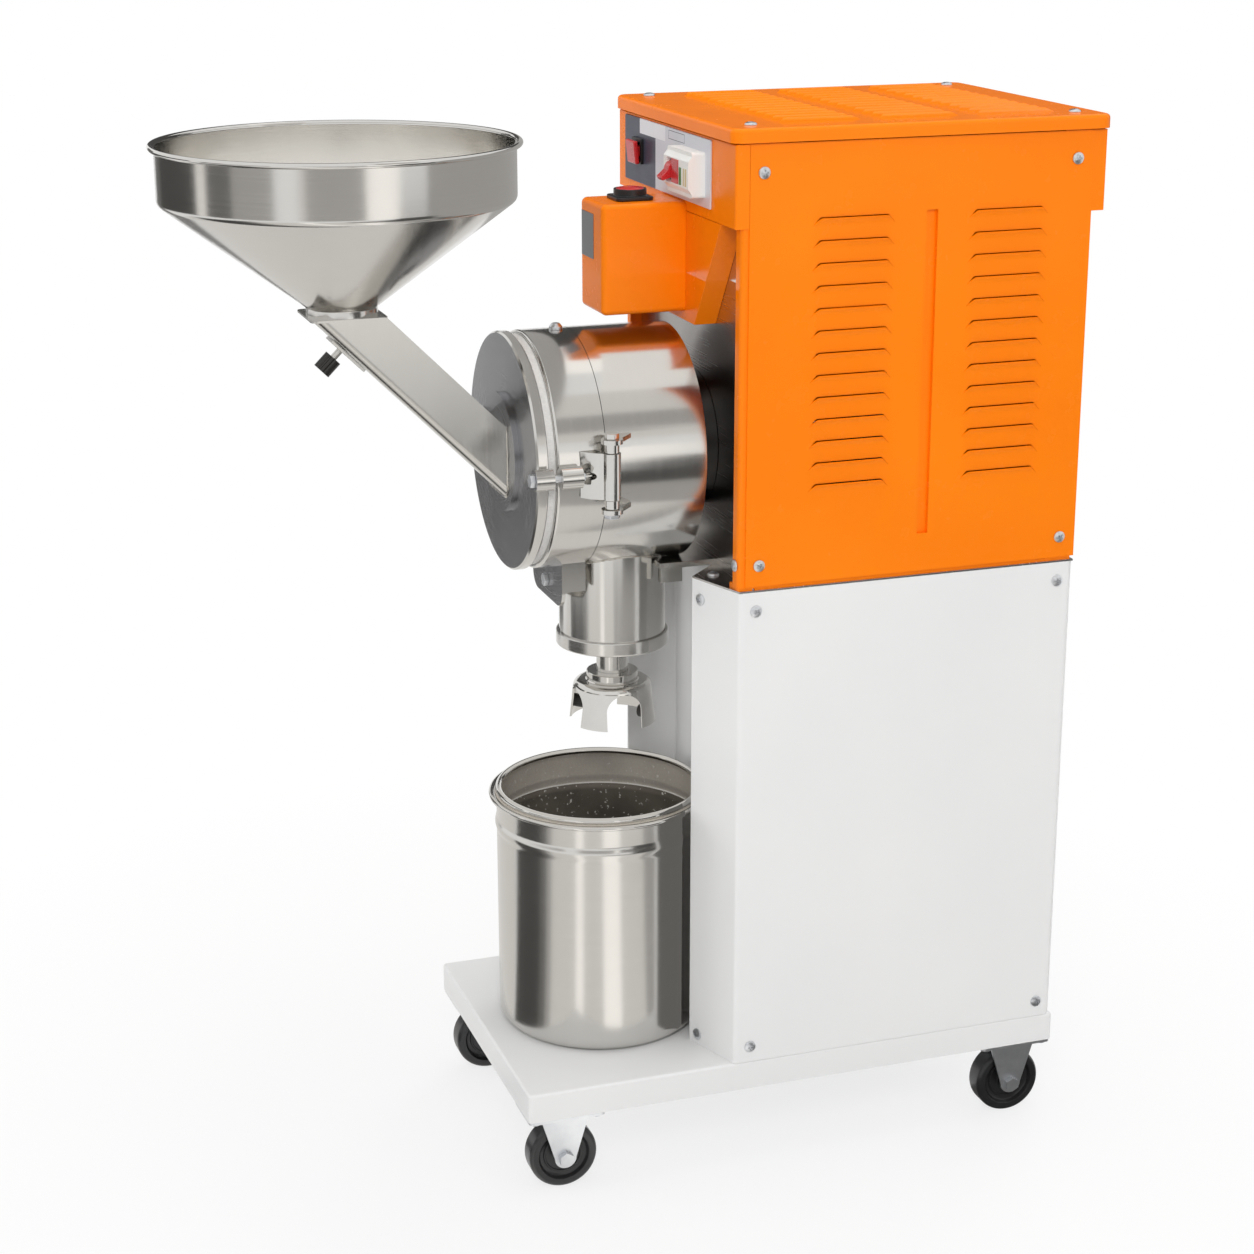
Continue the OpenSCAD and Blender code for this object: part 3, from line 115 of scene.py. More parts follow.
class Value:
    """A number in a material's node tree, with operators that add Math nodes."""

    def __init__(self, graph: "Graph", socket: bpy.types.NodeSocket) -> None:
        """Wrap an output socket of a graph."""
        self.graph = graph
        self.socket = socket

    def math(self, operation: str, other: "Number" = None, flipped: bool = False) -> "Value":
        """Add a Math node.

        Args:
            operation: The Math node's operation.
            other: The second operand, where there is one.
            flipped: True where the other operand comes first.

        Returns:
            The node's result.
        """
        operands = [self] if other is None else [other, self] if flipped else [self, other]
        node = self.graph.node("ShaderNodeMath", {"operation": operation}, dict(enumerate(operands)))
        return Value(self.graph, node.outputs[0])

    def __add__(self, other: "Number") -> "Value":
        """Add."""
        return self.math("ADD", other)

    def __radd__(self, other: "Number") -> "Value":
        """Add, with the number first."""
        return self.math("ADD", other, True)

    def __sub__(self, other: "Number") -> "Value":
        """Subtract."""
        return self.math("SUBTRACT", other)

    def __rsub__(self, other: "Number") -> "Value":
        """Subtract from a number."""
        return self.math("SUBTRACT", other, True)

    def __mul__(self, other: "Number") -> "Value":
        """Multiply."""
        return self.math("MULTIPLY", other)

    def __rmul__(self, other: "Number") -> "Value":
        """Multiply, with the number first."""
        return self.math("MULTIPLY", other, True)

    def __truediv__(self, other: "Number") -> "Value":
        """Divide."""
        return self.math("DIVIDE", other)

    def __pow__(self, other: "Number") -> "Value":
        """Raise to a power."""
        return self.math("POWER", other)

    def above(self, limit: "Number") -> "Value":
        """Return 1 where this is greater than the limit, and 0 elsewhere."""
        return self.math("GREATER_THAN", limit)

    def below(self, limit: "Number") -> "Value":
        """Return 1 where this is less than the limit, and 0 elsewhere."""
        return self.math("LESS_THAN", limit)

    def between(self, low: float, high: float) -> "Value":
        """Return 1 from low to high, and 0 elsewhere."""
        return self.above(low) * self.below(high)

    def most(self, other: "Number") -> "Value":
        """Return the greater of the two."""
        return self.math("MAXIMUM", other)

    def least(self, other: "Number") -> "Value":
        """Return the smaller of the two."""
        return self.math("MINIMUM", other)


Number = Union[float, int, Value, None]
Input = Union[Number, bpy.types.NodeSocket, Sequence[float], str]


class Graph:
    """The node tree of one material or of the world."""

    def __init__(self, owner: Union[bpy.types.Material, bpy.types.World]) -> None:
        """Start an empty tree.

        Args:
            owner: The material or the world that gets it.
        """
        self.owner = owner
        self.owner.use_nodes = True
        self.tree = self.owner.node_tree
        self.tree.nodes.clear()

    @classmethod
    def material(cls, name: str) -> "Graph":
        """Return the empty tree of a new material of that name."""
        return cls(bpy.data.materials.new(name))

    def node(
        self, kind: str, settings: dict | None = None, sockets: dict | None = None
    ) -> bpy.types.Node:
        """Add any node.

        Args:
            kind: The node's type.
            settings: Its own settings, by name.
            sockets: What its inputs hold or are linked to, by name or number.

        Returns:
            The node.
        """
        made = self.tree.nodes.new(kind)
        for key, setting in (settings or {}).items():
            setattr(made, key, setting)
        for key, given in (sockets or {}).items():
            socket = made.inputs[key]
            if isinstance(given, Value):
                self.tree.links.new(given.socket, socket)
            elif isinstance(given, bpy.types.NodeSocket):
                self.tree.links.new(given, socket)
            else:
                socket.default_value = given
        return made

    def place(self) -> bpy.types.NodeSocket:
        """Return the surface point in the object's own coordinates."""
        return self.node("ShaderNodeTexCoord").outputs["Object"]

    def axes(self) -> tuple[Value, Value, Value]:
        """Split the surface point.

        Returns:
            Its X, Y and Z.
        """
        split = self.node("ShaderNodeSeparateXYZ", None, {0: self.place()})
        x, y, z = split.outputs
        return Value(self, x), Value(self, y), Value(self, z)

    def noise(
        self, scale: float, detail: float = 2.0, stretch: Sequence[float] = (1, 1, 1), rough: float = 0.5
    ) -> Value:
        """Return a cloudy pattern from about 0 to 1.

        Args:
            scale: How many features fit into a metre.
            detail: How many finer layers it has.
            stretch: The pattern's scale along each axis.
            rough: How strong the finer layers are.

        Returns:
            The pattern.
        """
        stretched = {"Vector": self.place(), "Scale": tuple(stretch)}
        spot = self.node("ShaderNodeMapping", None, stretched).outputs[0]
        sockets = {"Vector": spot, "Scale": scale, "Detail": detail, "Roughness": rough}
        return Value(self, self.node("ShaderNodeTexNoise", None, sockets).outputs[0])

    def lines(self, along: Value, scale: float, detail: float = 3.0) -> Value:
        """Return fine lines that change only with one value.

        Args:
            along: The value.
            scale: How many lines fit into a metre.
            detail: How many finer layers they have.

        Returns:
            The pattern, from about 0 to 1.
        """
        sockets = {"W": along, "Scale": scale, "Detail": detail, "Roughness": 0.7}
        pattern = self.node("ShaderNodeTexNoise", {"noise_dimensions": "1D"}, sockets)
        return Value(self, pattern.outputs[0])

    def mix(self, share: Number, first: Input, second: Input) -> bpy.types.NodeSocket:
        """Mix two colours by a share from 0 to 1."""
        sockets = {0: share, 6: first, 7: second}
        return self.node("ShaderNodeMix", {"data_type": "RGBA"}, sockets).outputs[2]

    def bump(self, height: Value, strength: float, depth: float) -> bpy.types.NodeSocket:
        """Return a normal that a height pattern of that depth in metres disturbs."""
        sockets = {"Height": height, "Strength": strength, "Distance": depth}
        return self.node("ShaderNodeBump", None, sockets).outputs[0]

    def surface(self, **sockets: Input) -> bpy.types.Material:
        """Close the material with a principled surface.

        Args:
            sockets: The shader's inputs, with underscores for spaces.

        Returns:
            The finished material.
        """
        named = {key.replace("_", " "): given for key, given in sockets.items()}
        shader = self.node("ShaderNodeBsdfPrincipled", None, named)
        out = self.node("ShaderNodeOutputMaterial")
        self.tree.links.new(shader.outputs[0], out.inputs["Surface"])
        return self.owner

    def rays(self, *kinds: str) -> Value:
        """Tell rays apart by their kind.

        Args:
            kinds: The kinds, such as "Camera".

        Returns:
            1 for rays of these kinds, and 0 for others.
        """
        path = self.node("ShaderNodeLightPath")
        found = [Value(self, path.outputs["Is %s Ray" % kind]) for kind in kinds]
        total = found[0]
        for other in found[1:]:
            total = total.most(other)
        return total


class Grain(Enum):
    """Which way the polishing lines of a steel surface run."""

    ROUND_Z = (6.0, 6.0, 620.0)
    ROUND_Y = (6.0, 620.0, 6.0)
    UPRIGHT = (620.0, 620.0, 6.0)
    ACROSS = (6.0, 620.0, 620.0)
    CAST = (90.0, 90.0, 90.0)


@dataclass(frozen=True)
class Enamel:
    """Glossy oven-baked paint with a fine orange-peel skin."""

    light: tuple[float, float, float, float]
    deep: tuple[float, float, float, float]
    roughness: float = 0.26
    peel: float = 0.05
    gloss: float = 0.18

    def make(self, name: str) -> bpy.types.Material:
        """Make the paint.

        Args:
            name: The material's name.

        Returns:
            The material.
        """
        graph = Graph.material(name)
        tone = graph.noise(5.0, 2.0)
        haze = graph.noise(38.0, 4.0)
        skin = graph.noise(330.0, 2.0)
        return graph.surface(
            Base_Color=graph.mix(tone, self.deep, self.light),
            Roughness=self.roughness + 0.10 * (haze - 0.5),
            Normal=graph.bump(skin, self.peel, 0.0006),
            Specular_IOR_Level=self.gloss,
        )


@dataclass(frozen=True)
class Steel:
    """Polished or brushed stainless steel with lines along its grain."""

    tint: tuple[float, float, float, float]
    roughness: float
    spread: float
    grain: Grain
    groove: float = 0.05

    def make(self, name: str) -> bpy.types.Material:
        """Make the steel.

        Args:
            name: The material's name.

        Returns:
            The material.
        """
        graph = Graph.material(name)
        streak = graph.noise(1.0, 3.0, self.grain.value, 0.65)
        cloud = graph.noise(11.0, 3.0)
        smear = graph.noise(42.0, 4.0)
        dull = tuple(0.90 * level for level in self.tint[:3]) + (1.0,)
        rough = self.roughness + self.spread * (streak - 0.5) + 0.5 * self.spread * (cloud - 0.5)
        return graph.surface(
            Base_Color=graph.mix(0.6 * streak + 0.4 * smear, dull, self.tint),
            Metallic=1.0,
            Roughness=rough.most(0.02),
            Normal=graph.bump(streak, self.groove, 0.00012),
        )


@dataclass(frozen=True)
class TurnedFace:
    """Dark steel faced on a lathe, with rings round an axis along Y."""

    tint: tuple[float, float, float, float]
    deep: tuple[float, float, float, float]
    height: float
    roughness: float = 0.24

    def make(self, name: str) -> bpy.types.Material:
        """Make the lathe-faced steel.

        Args:
            name: The material's name.

        Returns:
            The material.
        """
        graph = Graph.material(name)
        x, _, z = graph.axes()
        radius = (x * x + (z - self.height) * (z - self.height)) ** 0.5
        rings = graph.lines(radius, 520.0)
        cloud = graph.noise(13.0, 4.0)
        spots = graph.noise(210.0, 3.0)
        return graph.surface(
            Base_Color=graph.mix(0.5 * cloud + 0.35 * rings + 0.15 * spots, self.deep, self.tint),
            Metallic=1.0,
            Roughness=self.roughness + 0.16 * (rings - 0.5) + 0.12 * (cloud - 0.5),
            Normal=graph.bump(rings, 0.10, 0.00025),
        )


@dataclass(frozen=True)
class Plated:
    """Bright zinc plate with a faint mottled bloom."""

    tint: tuple[float, float, float, float] = srgb(232, 234, 236)
    deep: tuple[float, float, float, float] = srgb(200, 203, 208)
    roughness: float = 0.34

    def make(self, name: str) -> bpy.types.Material:
        """Make the plating.

        Args:
            name: The material's name.

        Returns:
            The material.
        """
        graph = Graph.material(name)
        bloom = graph.noise(70.0, 4.0)
        fine = graph.noise(480.0, 3.0)
        return graph.surface(
            Base_Color=graph.mix(bloom, self.deep, self.tint),
            Metallic=1.0,
            Roughness=self.roughness + 0.22 * (bloom - 0.5),
            Normal=graph.bump(fine, 0.08, 0.0003),
        )


@dataclass(frozen=True)
class Moulded:
    """Moulded plastic or rubber with a fine spark-eroded skin."""

    light: tuple[float, float, float, float]
    deep: tuple[float, float, float, float]
    roughness: float = 0.4
    skin: float = 0.10
    scale: float = 900.0
    coat: float = 0.0

    def make(self, name: str) -> bpy.types.Material:
        """Make the moulding.

        Args:
            name: The material's name.

        Returns:
            The material.
        """
        graph = Graph.material(name)
        tone = graph.noise(24.0, 3.0)
        pits = graph.noise(self.scale, 2.0)
        return graph.surface(
            Base_Color=graph.mix(tone, self.deep, self.light),
            Roughness=self.roughness + 0.14 * (tone - 0.5) + 0.06 * (pits - 0.5),
            Normal=graph.bump(pits, self.skin, 0.0003),
            Coat_Weight=self.coat,
            Coat_Roughness=0.08,
        )


@dataclass(frozen=True)
class Felt:
    """Grey pressed felt with fibres and flour dust."""

    light: tuple[float, float, float, float] = srgb(232, 230, 226)
    deep: tuple[float, float, float, float] = srgb(176, 174, 171)

    def make(self, name: str) -> bpy.types.Material:
        """Make the felt.

        Args:
            name: The material's name.

        Returns:
            The material.
        """
        graph = Graph.material(name)
        fibre = graph.noise(900.0, 3.0, (1, 0.4, 1))
        dust = graph.noise(150.0, 4.0)
        return graph.surface(
            Base_Color=graph.mix(0.6 * fibre + 0.4 * dust, self.deep, self.light),
            Roughness=0.85 + 0.1 * (dust - 0.5),
            Normal=graph.bump(fibre, 0.6, 0.0006),
        )


@dataclass(frozen=True)
class CastIron:
    """Painted cast iron of the drive, with a sandy skin."""

    light: tuple[float, float, float, float] = srgb(96, 100, 104)
    deep: tuple[float, float, float, float] = srgb(52, 55, 58)

    def make(self, name: str) -> bpy.types.Material:
        """Make the casting.

        Args:
            name: The material's name.

        Returns:
            The material.
        """
        graph = Graph.material(name)
        sand = graph.noise(420.0, 4.0)
        stain = graph.noise(16.0, 4.0)
        return graph.surface(
            Base_Color=graph.mix(0.7 * stain + 0.3 * sand, self.deep, self.light),
            Metallic=0.35,
            Roughness=0.52 + 0.2 * (stain - 0.5),
            Normal=graph.bump(sand, 0.35, 0.0006),
        )


@dataclass(frozen=True)
class PanelPrint:
    """Satin aluminium panel, printed with a graphite block, a pale block and thin rules."""

    pale: tuple[float, float, float, float] = srgb(206, 207, 214)
    graphite: tuple[float, float, float, float] = srgb(72, 74, 90)
    white: tuple[float, float, float, float] = srgb(236, 236, 240)
    split_x: float = -0.052
    block_x: tuple[float, float] = (-0.102, -0.022)
    block_z: float = 1.0815
    rule: float = 0.0006
    frame_x: tuple[float, float] = (-0.012, 0.036)
    frame_z: tuple[float, float] = (1.0855, 1.0945)

    def make(self, name: str) -> bpy.types.Material:
        """Make the printed panel.

        Args:
            name: The material's name.

        Returns:
            The material.
        """
        graph = Graph.material(name)
        x, _, z = graph.axes()
        brushed = graph.noise(1.0, 3.0, (40.0, 700.0, 900.0), 0.6)
        haze = graph.noise(55.0, 3.0)
        dark = x.below(self.split_x)
        block = x.between(*self.block_x) * z.above(self.block_z)
        outer = x.between(*self.frame_x) * z.between(*self.frame_z)
        inner = x.between(self.frame_x[0] + self.rule, self.frame_x[1] - self.rule)
        hollow = inner * z.between(self.frame_z[0] + self.rule, self.frame_z[1] - self.rule)
        lines = outer - hollow
        ground = graph.mix(dark, graph.mix(0.4 * brushed, self.pale, self.white), self.graphite)
        printed = graph.mix(block, ground, self.white)
        shaded = graph.mix(lines, printed, self.graphite)
        return graph.surface(
            Base_Color=shaded,
            Metallic=0.25,
            Roughness=0.34 + 0.12 * (brushed - 0.5) + 0.1 * (haze - 0.5),
            Normal=graph.bump(brushed, 0.05, 0.0001),
        )


@dataclass(frozen=True)
class DustAndShadeSteel:
    """The inside of the bucket: clean steel above a painted highlight ring, and below it specks on steel
    darkened with painted shade.
    """

    clean: tuple[float, float, float, float] = srgb(226, 219, 208)
    worn: tuple[float, float, float, float] = srgb(168, 160, 149)
    # dark and black are painted shade: the deep lower wall is darkened where less light reaches.
    dark: tuple[float, float, float, float] = srgb(146, 139, 128)
    black: tuple[float, float, float, float] = srgb(72, 68, 62)
    # This pale colour serves both the specks and the painted highlight ring.
    speck_and_highlight: tuple[float, float, float, float] = srgb(226, 223, 216)
    # Height and half-width of the painted highlight ring.
    highlight_z: float = 0.3515
    highlight_half: float = 0.0008

    def make(self, name: str) -> bpy.types.Material:
        """Make the specked steel with its painted shade and painted highlight ring.

        Args:
            name: The material's name.

        Returns:
            The material.
        """
        graph = Graph.material(name)
        _, _, z = graph.axes()
        mottle = graph.noise(17.0, 4.0)
        grit = graph.noise(430.0, 2.0)
        crumbs = graph.noise(260.0, 1.0)
        specks = crumbs.above(0.70)
        # Below the ring the wall is painted shade, mixed from dark and black.
        low = graph.mix(mottle, self.black, self.dark)
        high = graph.mix(0.7 * mottle + 0.3 * grit, self.worn, self.clean)
        wall = graph.mix(z.above(self.highlight_z), low, high)
        # A thin ring at that height gets the pale colour and is made matt: a painted highlight.
        highlight_ring = z.between(self.highlight_z - self.highlight_half, self.highlight_z + self.highlight_half)
        highlighted = graph.mix(highlight_ring, wall, self.speck_and_highlight)
        matt = (0.8 * specks).most(0.55 + 0.2 * z.above(self.highlight_z - self.highlight_half) + 0.25 * highlight_ring)
        return graph.surface(
            Base_Color=graph.mix(0.75 * specks, highlighted, self.speck_and_highlight),
            Metallic=1 - matt,
            Roughness=0.26 + 0.22 * grit + 0.2 * specks,
            Normal=graph.bump(grit, 0.25, 0.0005),
        )


class Finishes:
    """Every material of the mill, made once."""

    def __init__(self) -> None:
        """Make the materials."""
        bright = srgb(214, 212, 208)
        self.orange = Enamel(srgb(255, 135, 8), srgb(246, 121, 2)).make("orange_enamel")
        self.white = Enamel(srgb(232, 232, 231), srgb(225, 225, 225), 0.32).make("white_enamel")
        self.hopper = Steel(bright, 0.17, 0.10, Grain.ROUND_Z).make("hopper_steel")
        # The hopper's inside is a lighter copy of its outside steel: painted light.
        self.lining = Steel(srgb(242, 240, 236), 0.15, 0.08, Grain.ROUND_Z, 0.03).make("hopper_inside_lit")
        self.bucket = Steel(bright, 0.18, 0.09, Grain.ROUND_Z, 0.03).make("bucket_steel")
        self.rim = Steel(bright, 0.08, 0.05, Grain.ROUND_Z, 0.01).make("rim_steel")
        # The bucket's inside has painted shade low down and a painted highlight ring.
        self.inside = DustAndShadeSteel().make("bucket_inside")
        self.drum = Steel(bright, 0.16, 0.08, Grain.ROUND_Y, 0.04).make("drum_steel")
        self.mirror = Steel(srgb(212, 208, 204), 0.26, 0.08, Grain.ACROSS, 0.02).make("mirror_plate")
        # Dark steel: the gate knob's own colour, and painted shade on the chamber hub and on the drum's
        # rear face.
        self.shade = Steel(srgb(70, 69, 68), 0.30, 0.10, Grain.CAST).make("dark_steel")
        self.satin = Steel(srgb(205, 203, 198), 0.22, 0.12, Grain.UPRIGHT).make("satin_steel")
        self.polished = Steel(bright, 0.12, 0.08, Grain.CAST, 0.03).make("polished_steel")
        self.cover = TurnedFace(srgb(190, 190, 192), srgb(128, 128, 131), 0.774).make("cover_steel")
        self.zinc = Plated().make("zinc_plate")
        tread = Moulded(srgb(34, 34, 36), srgb(17, 17, 18), 0.34, 0.08, 700.0, 0.2)
        self.wheel = tread.make("wheel_black")
        self.rubber = Moulded(srgb(46, 43, 40), srgb(22, 21, 20), 0.62, 0.25, 600.0).make("black_rubber")
        self.black = Moulded(srgb(36, 36, 38), srgb(20, 20, 21), 0.36, 0.10).make("black_plastic")
        signal = Moulded(srgb(208, 44, 46), srgb(176, 22, 28), 0.28, 0.08, 800.0, 0.3)
        self.red = signal.make("red_plastic")
        housing = Moulded(srgb(240, 239, 235), srgb(230, 229, 225), 0.42, 0.12)
        self.breaker = housing.make("breaker_white")
        self.panel = PanelPrint().make("panel_print")
        self.felt = Felt().make("gasket_felt")
        self.iron = CastIron().make("cast_iron")
        self.weld = Steel(srgb(196, 192, 184), 0.26, 0.2, Grain.CAST, 0.4).make("weld_steel")
        self.plate = Steel(srgb(150, 152, 156), 0.36, 0.10, Grain.UPRIGHT, 0.04).make("blank_plate")
        self.green = Moulded(srgb(66, 128, 52), srgb(48, 104, 40), 0.35).make("green_inlay")
        self.amber = Moulded(srgb(214, 196, 150), srgb(196, 176, 128), 0.35).make("amber_inlay")


class Bench:
    """Modelling steps that the sub-assemblies share, done with Blender's own tools."""

    @staticmethod
    def clear() -> None:
        """Leave object mode on, nothing selected and nothing active."""
        active = bpy.context.view_layer.objects.active
        if active is not None and active.mode != "OBJECT":
            bpy.ops.object.mode_set(mode="OBJECT")
        bpy.ops.object.select_all(action="DESELECT")
        bpy.context.view_layer.objects.active = None

    @staticmethod
    def take(piece: bpy.types.Object) -> None:
        """Make one piece the only selected and the active one.

        Args:
            piece: The piece.
        """
        Bench.clear()
        piece.select_set(True)
        bpy.context.view_layer.objects.active = piece

    @staticmethod
    def edit(piece: bpy.types.Object, mode: str = "VERT") -> None:
        """Open a piece in edit mode with everything selected.

        Args:
            piece: The piece.
            mode: What is selected: "VERT", "EDGE" or "FACE".
        """
        Bench.take(piece)
        bpy.ops.object.mode_set(mode="EDIT")
        bpy.ops.mesh.select_mode(type=mode)
        bpy.ops.mesh.select_all(action="SELECT")

    @staticmethod
    def close() -> None:
        """Go back to object mode."""
        bpy.ops.object.mode_set(mode="OBJECT")

    @staticmethod
    def trace(name: str, points: Sequence[Point]) -> bpy.types.Object:
        """Draw a chain of edges, point by point.

        Args:
            name: The new piece's name.
            points: The chain's points, in order.

        Returns:
            The piece, at the origin.
        """
        Bench.clear()
        bpy.ops.mesh.primitive_plane_add(size=0.001, location=(0, 0, 0))
        piece = bpy.context.object
        piece.name = name
        Bench.edit(piece)
        bpy.ops.mesh.merge(type="CENTER")
        bpy.ops.transform.translate(value=Vector(points[0]))
        for before, after in zip(points, points[1:]):
            step = Vector(after) - Vector(before)
            bpy.ops.mesh.extrude_region_move(TRANSFORM_OT_translate={"value": step})
        Bench.close()
        return piece

    @staticmethod
    def weld_points(piece: bpy.types.Object) -> None:
        """Merge the points that lie together and turn all faces outwards.

        Args:
            piece: The piece.
        """
        Bench.edit(piece)
        bpy.ops.mesh.remove_doubles(threshold=MERGE)
        bpy.ops.mesh.normals_make_consistent(inside=False)
        Bench.close()

    @staticmethod
    def smooth(piece: bpy.types.Object, degrees: float = 38.0) -> None:
        """Shade a piece smoothly, apart from its sharp edges.

        Args:
            piece: The piece.
            degrees: The angle from which an edge is sharp.
        """
        Bench.take(piece)
        bpy.ops.object.shade_smooth_by_angle(angle=math.radians(degrees))
        Bench.apply(piece, "WEIGHTED_NORMAL", keep_sharp=True, weight=80)

    @staticmethod
    def turn(
        name: str, outline: Sequence[tuple[float, float]], centre: Point, axis: str, steps: int = 160
    ) -> bpy.types.Object:
        """Spin a closed outline round an axis.

        Args:
            name: The new piece's name.
            outline: Pairs of radius and distance along the axis.
            centre: A point on the axis, where that distance is zero.
            axis: "X", "Y" or "Z".
            steps: How many steps make a full turn.

        Returns:
            The turned piece, at the origin.
        """
        along = {"X": Vector((1, 0, 0)), "Y": Vector((0, 1, 0)), "Z": Vector((0, 0, 1))}[axis]
        out = Vector((0, 1, 0)) if axis == "X" else Vector((1, 0, 0))
        points = [Vector(centre) + out * radius + along * height for radius, height in outline]
        piece = Bench.trace(name, points)
        Bench.edit(piece)
        bpy.ops.mesh.spin(steps=steps, angle=2 * math.pi, center=Vector(centre), axis=along)
        Bench.close()
        Bench.weld_points(piece)
        Bench.smooth(piece)
        return piece

    @staticmethod
    def apply(piece: bpy.types.Object, kind: str, **settings: object) -> None:
        """Add a modifier and apply it.

        Args:
            piece: The piece.
            kind: The modifier's type.
            settings: Its settings, by name.
        """
        Bench.take(piece)
        bpy.ops.object.modifier_add(type=kind)
        modifier = piece.modifiers[-1]
        for key, setting in settings.items():
            setattr(modifier, key, setting)
        bpy.ops.object.modifier_apply(modifier=modifier.name)

    @staticmethod
    def round_edges(
        piece: bpy.types.Object, chosen: Callable[[Vector, Vector], bool], width: float, steps: int = 4
    ) -> None:
        """Round the edges that a test picks by their two ends.

        Args:
            piece: The piece to shape.
            chosen: Tells by an edge's two ends whether it is rounded.
            width: The rounding's width.
            steps: How many faces make the rounding.
        """
        Bench.edit(piece, "EDGE")
        bpy.ops.mesh.select_all(action="DESELECT")
        Bench.close()
        points = piece.data.vertices
        for edge in piece.data.edges:
            first, second = edge.vertices
            edge.select = chosen(points[first].co, points[second].co)
        bpy.ops.object.mode_set(mode="EDIT")
        bpy.ops.mesh.bevel(offset=width, segments=steps, profile=0.5, affect="EDGES", clamp_overlap=True)
        Bench.close()

    @staticmethod
    def copy_of(node: str, name: str) -> bpy.types.Object:
        """Return a merged copy of a CAD node's mesh, free of its body.

        Args:
            node: The CAD node.
            name: The copy's name.

        Returns:
            The copy, at the origin.
        """
        source = frame["nodes"][node]
        piece = source.copy()
        piece.data = source.data.copy()
        piece.name = name
        del piece["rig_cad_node"]
        piece.parent = None
        piece.matrix_world = Matrix.Identity(4)
        bpy.context.scene.collection.objects.link(piece)
        piece.data.materials.clear()
        Bench.edit(piece)
        bpy.ops.mesh.customdata_custom_splitnormals_clear()
        bpy.ops.mesh.remove_doubles(threshold=MERGE)
        bpy.ops.mesh.dissolve_limited(angle_limit=math.radians(FLAT))
        Bench.close()
        return piece

    @staticmethod
    def soften(piece: bpy.types.Object, width: float, steps: int = 2, degrees: float = 38.0) -> None:
        """Break all sharp edges of a piece and shade it smoothly.

        Args:
            piece: The piece.
            width: How wide the broken edges are.
            steps: How many faces make an edge.
            degrees: The angle from which an edge is sharp.
        """
        Bench.apply(
            piece,
            "BEVEL",
            width=width,
            segments=steps,
            limit_method="ANGLE",
            angle_limit=math.radians(degrees),
            use_clamp_overlap=True,
        )
        Bench.smooth(piece, degrees)

    @staticmethod
    def block(name: str, low: Point, high: Point, width: float, steps: int = 3) -> bpy.types.Object:
        """Return a box with rounded edges.

        Args:
            name: The new piece's name.
            low: Its low corner.
            high: Its high corner.
            width: How wide the rounding is.
            steps: How many faces make the rounding.

        Returns:
            The box, at the origin.
        """
        Bench.clear()
        middle = (Vector(low) + Vector(high)) / 2
        bpy.ops.mesh.primitive_cube_add(size=1.0, location=middle, scale=Vector(high) - Vector(low))
        piece = bpy.context.object
        piece.name = name
        bpy.ops.object.transform_apply(location=True, rotation=True, scale=True)
        Bench.apply(piece, "BEVEL", width=width, segments=steps)
        Bench.smooth(piece)
        return piece

    @staticmethod
    def rod(
        name: str, spot: Point, radius: float, length: float, axis: str, sides: int
    ) -> bpy.types.Object:
        """Return a round or many-sided rod.

        Args:
            name: The new piece's name.
            spot: Its middle.
            radius: Its radius, to the corners.
            length: Its length.
            axis: "X", "Y" or "Z", the way that it runs.
            sides: How many sides it has.

        Returns:
            The rod, at the origin.
        """
        turn = {"X": (0, math.pi / 2, 0), "Y": (math.pi / 2, 0, 0), "Z": (0, 0, 0)}[axis]
        Bench.clear()
        bpy.ops.mesh.primitive_cylinder_add(
            vertices=sides, radius=radius, depth=length, location=Vector(spot), rotation=turn
        )
        piece = bpy.context.object
        piece.name = name
        bpy.ops.object.transform_apply(location=True, rotation=True, scale=True)
        return piece

    @staticmethod
    def cut(piece: bpy.types.Object, tool: bpy.types.Object) -> None:
        """Take a tool's shape out of a piece, and the tool away."""
        Bench.apply(piece, "BOOLEAN", object=tool, operation="DIFFERENCE")
        bpy.data.objects.remove(tool)

    @staticmethod
    def bead(
        name: str, points: Sequence[Point], radius: float, closed: bool, seed: int
    ) -> bpy.types.Object:
        """Lay an uneven weld bead along a path.

        Args:
            name: The new piece's name.
            points: The path's points.
            radius: The bead's radius.
            closed: True where the path is a ring.
            seed: Where the unevenness starts.

        Returns:
            The bead, at the origin.
        """
        chain = list(points) + [points[0]] if closed else list(points)
        piece = Bench.trace(name, chain)
        Bench.edit(piece)
        bpy.ops.mesh.remove_doubles(threshold=MERGE)
        Bench.close()
        Bench.take(piece)
        bpy.ops.object.convert(target="CURVE")
        piece.data.bevel_depth = radius
        piece.data.bevel_resolution = 2
        piece.data.use_fill_caps = True
        bpy.ops.object.convert(target="MESH")
        piece = bpy.context.object
        Bench.edit(piece)
        bpy.ops.mesh.remove_doubles(threshold=MERGE)
        bpy.ops.transform.vertex_random(offset=0.22 * radius, uniform=0.3, normal=0.6, seed=seed)
        bpy.ops.mesh.normals_make_consistent(inside=False)
        Bench.close()
        Bench.smooth(piece, 60.0)
        return piece

    @staticmethod
    def join(name: str, pieces: Sequence[bpy.types.Object]) -> bpy.types.Object:
        """Join pieces into one.

        Args:
            name: The joined piece's name.
            pieces: The pieces, which are used up.

        Returns:
            The joined piece.
        """
        Bench.take(pieces[0])
        for piece in pieces:
            piece.select_set(True)
        bpy.ops.object.join()
        joined = bpy.context.object
        joined.name = name
        return joined


def arc(
    centre: tuple[float, float], radius: float, start: float, end: float, count: int
) -> list[tuple[float, float]]:
    """Return points on an arc in an outline.

    Args:
        centre: The arc's centre, as radius and height.
        radius: The arc's radius.
        start: The first angle, in degrees.
        end: The last angle, in degrees.
        count: The number of points.

    Returns:
        The points from start to end.
    """
    angles = [math.radians(start + (end - start) * i / (count - 1)) for i in range(count)]
    return [(centre[0] + radius * math.cos(a), centre[1] + radius * math.sin(a)) for a in angles]


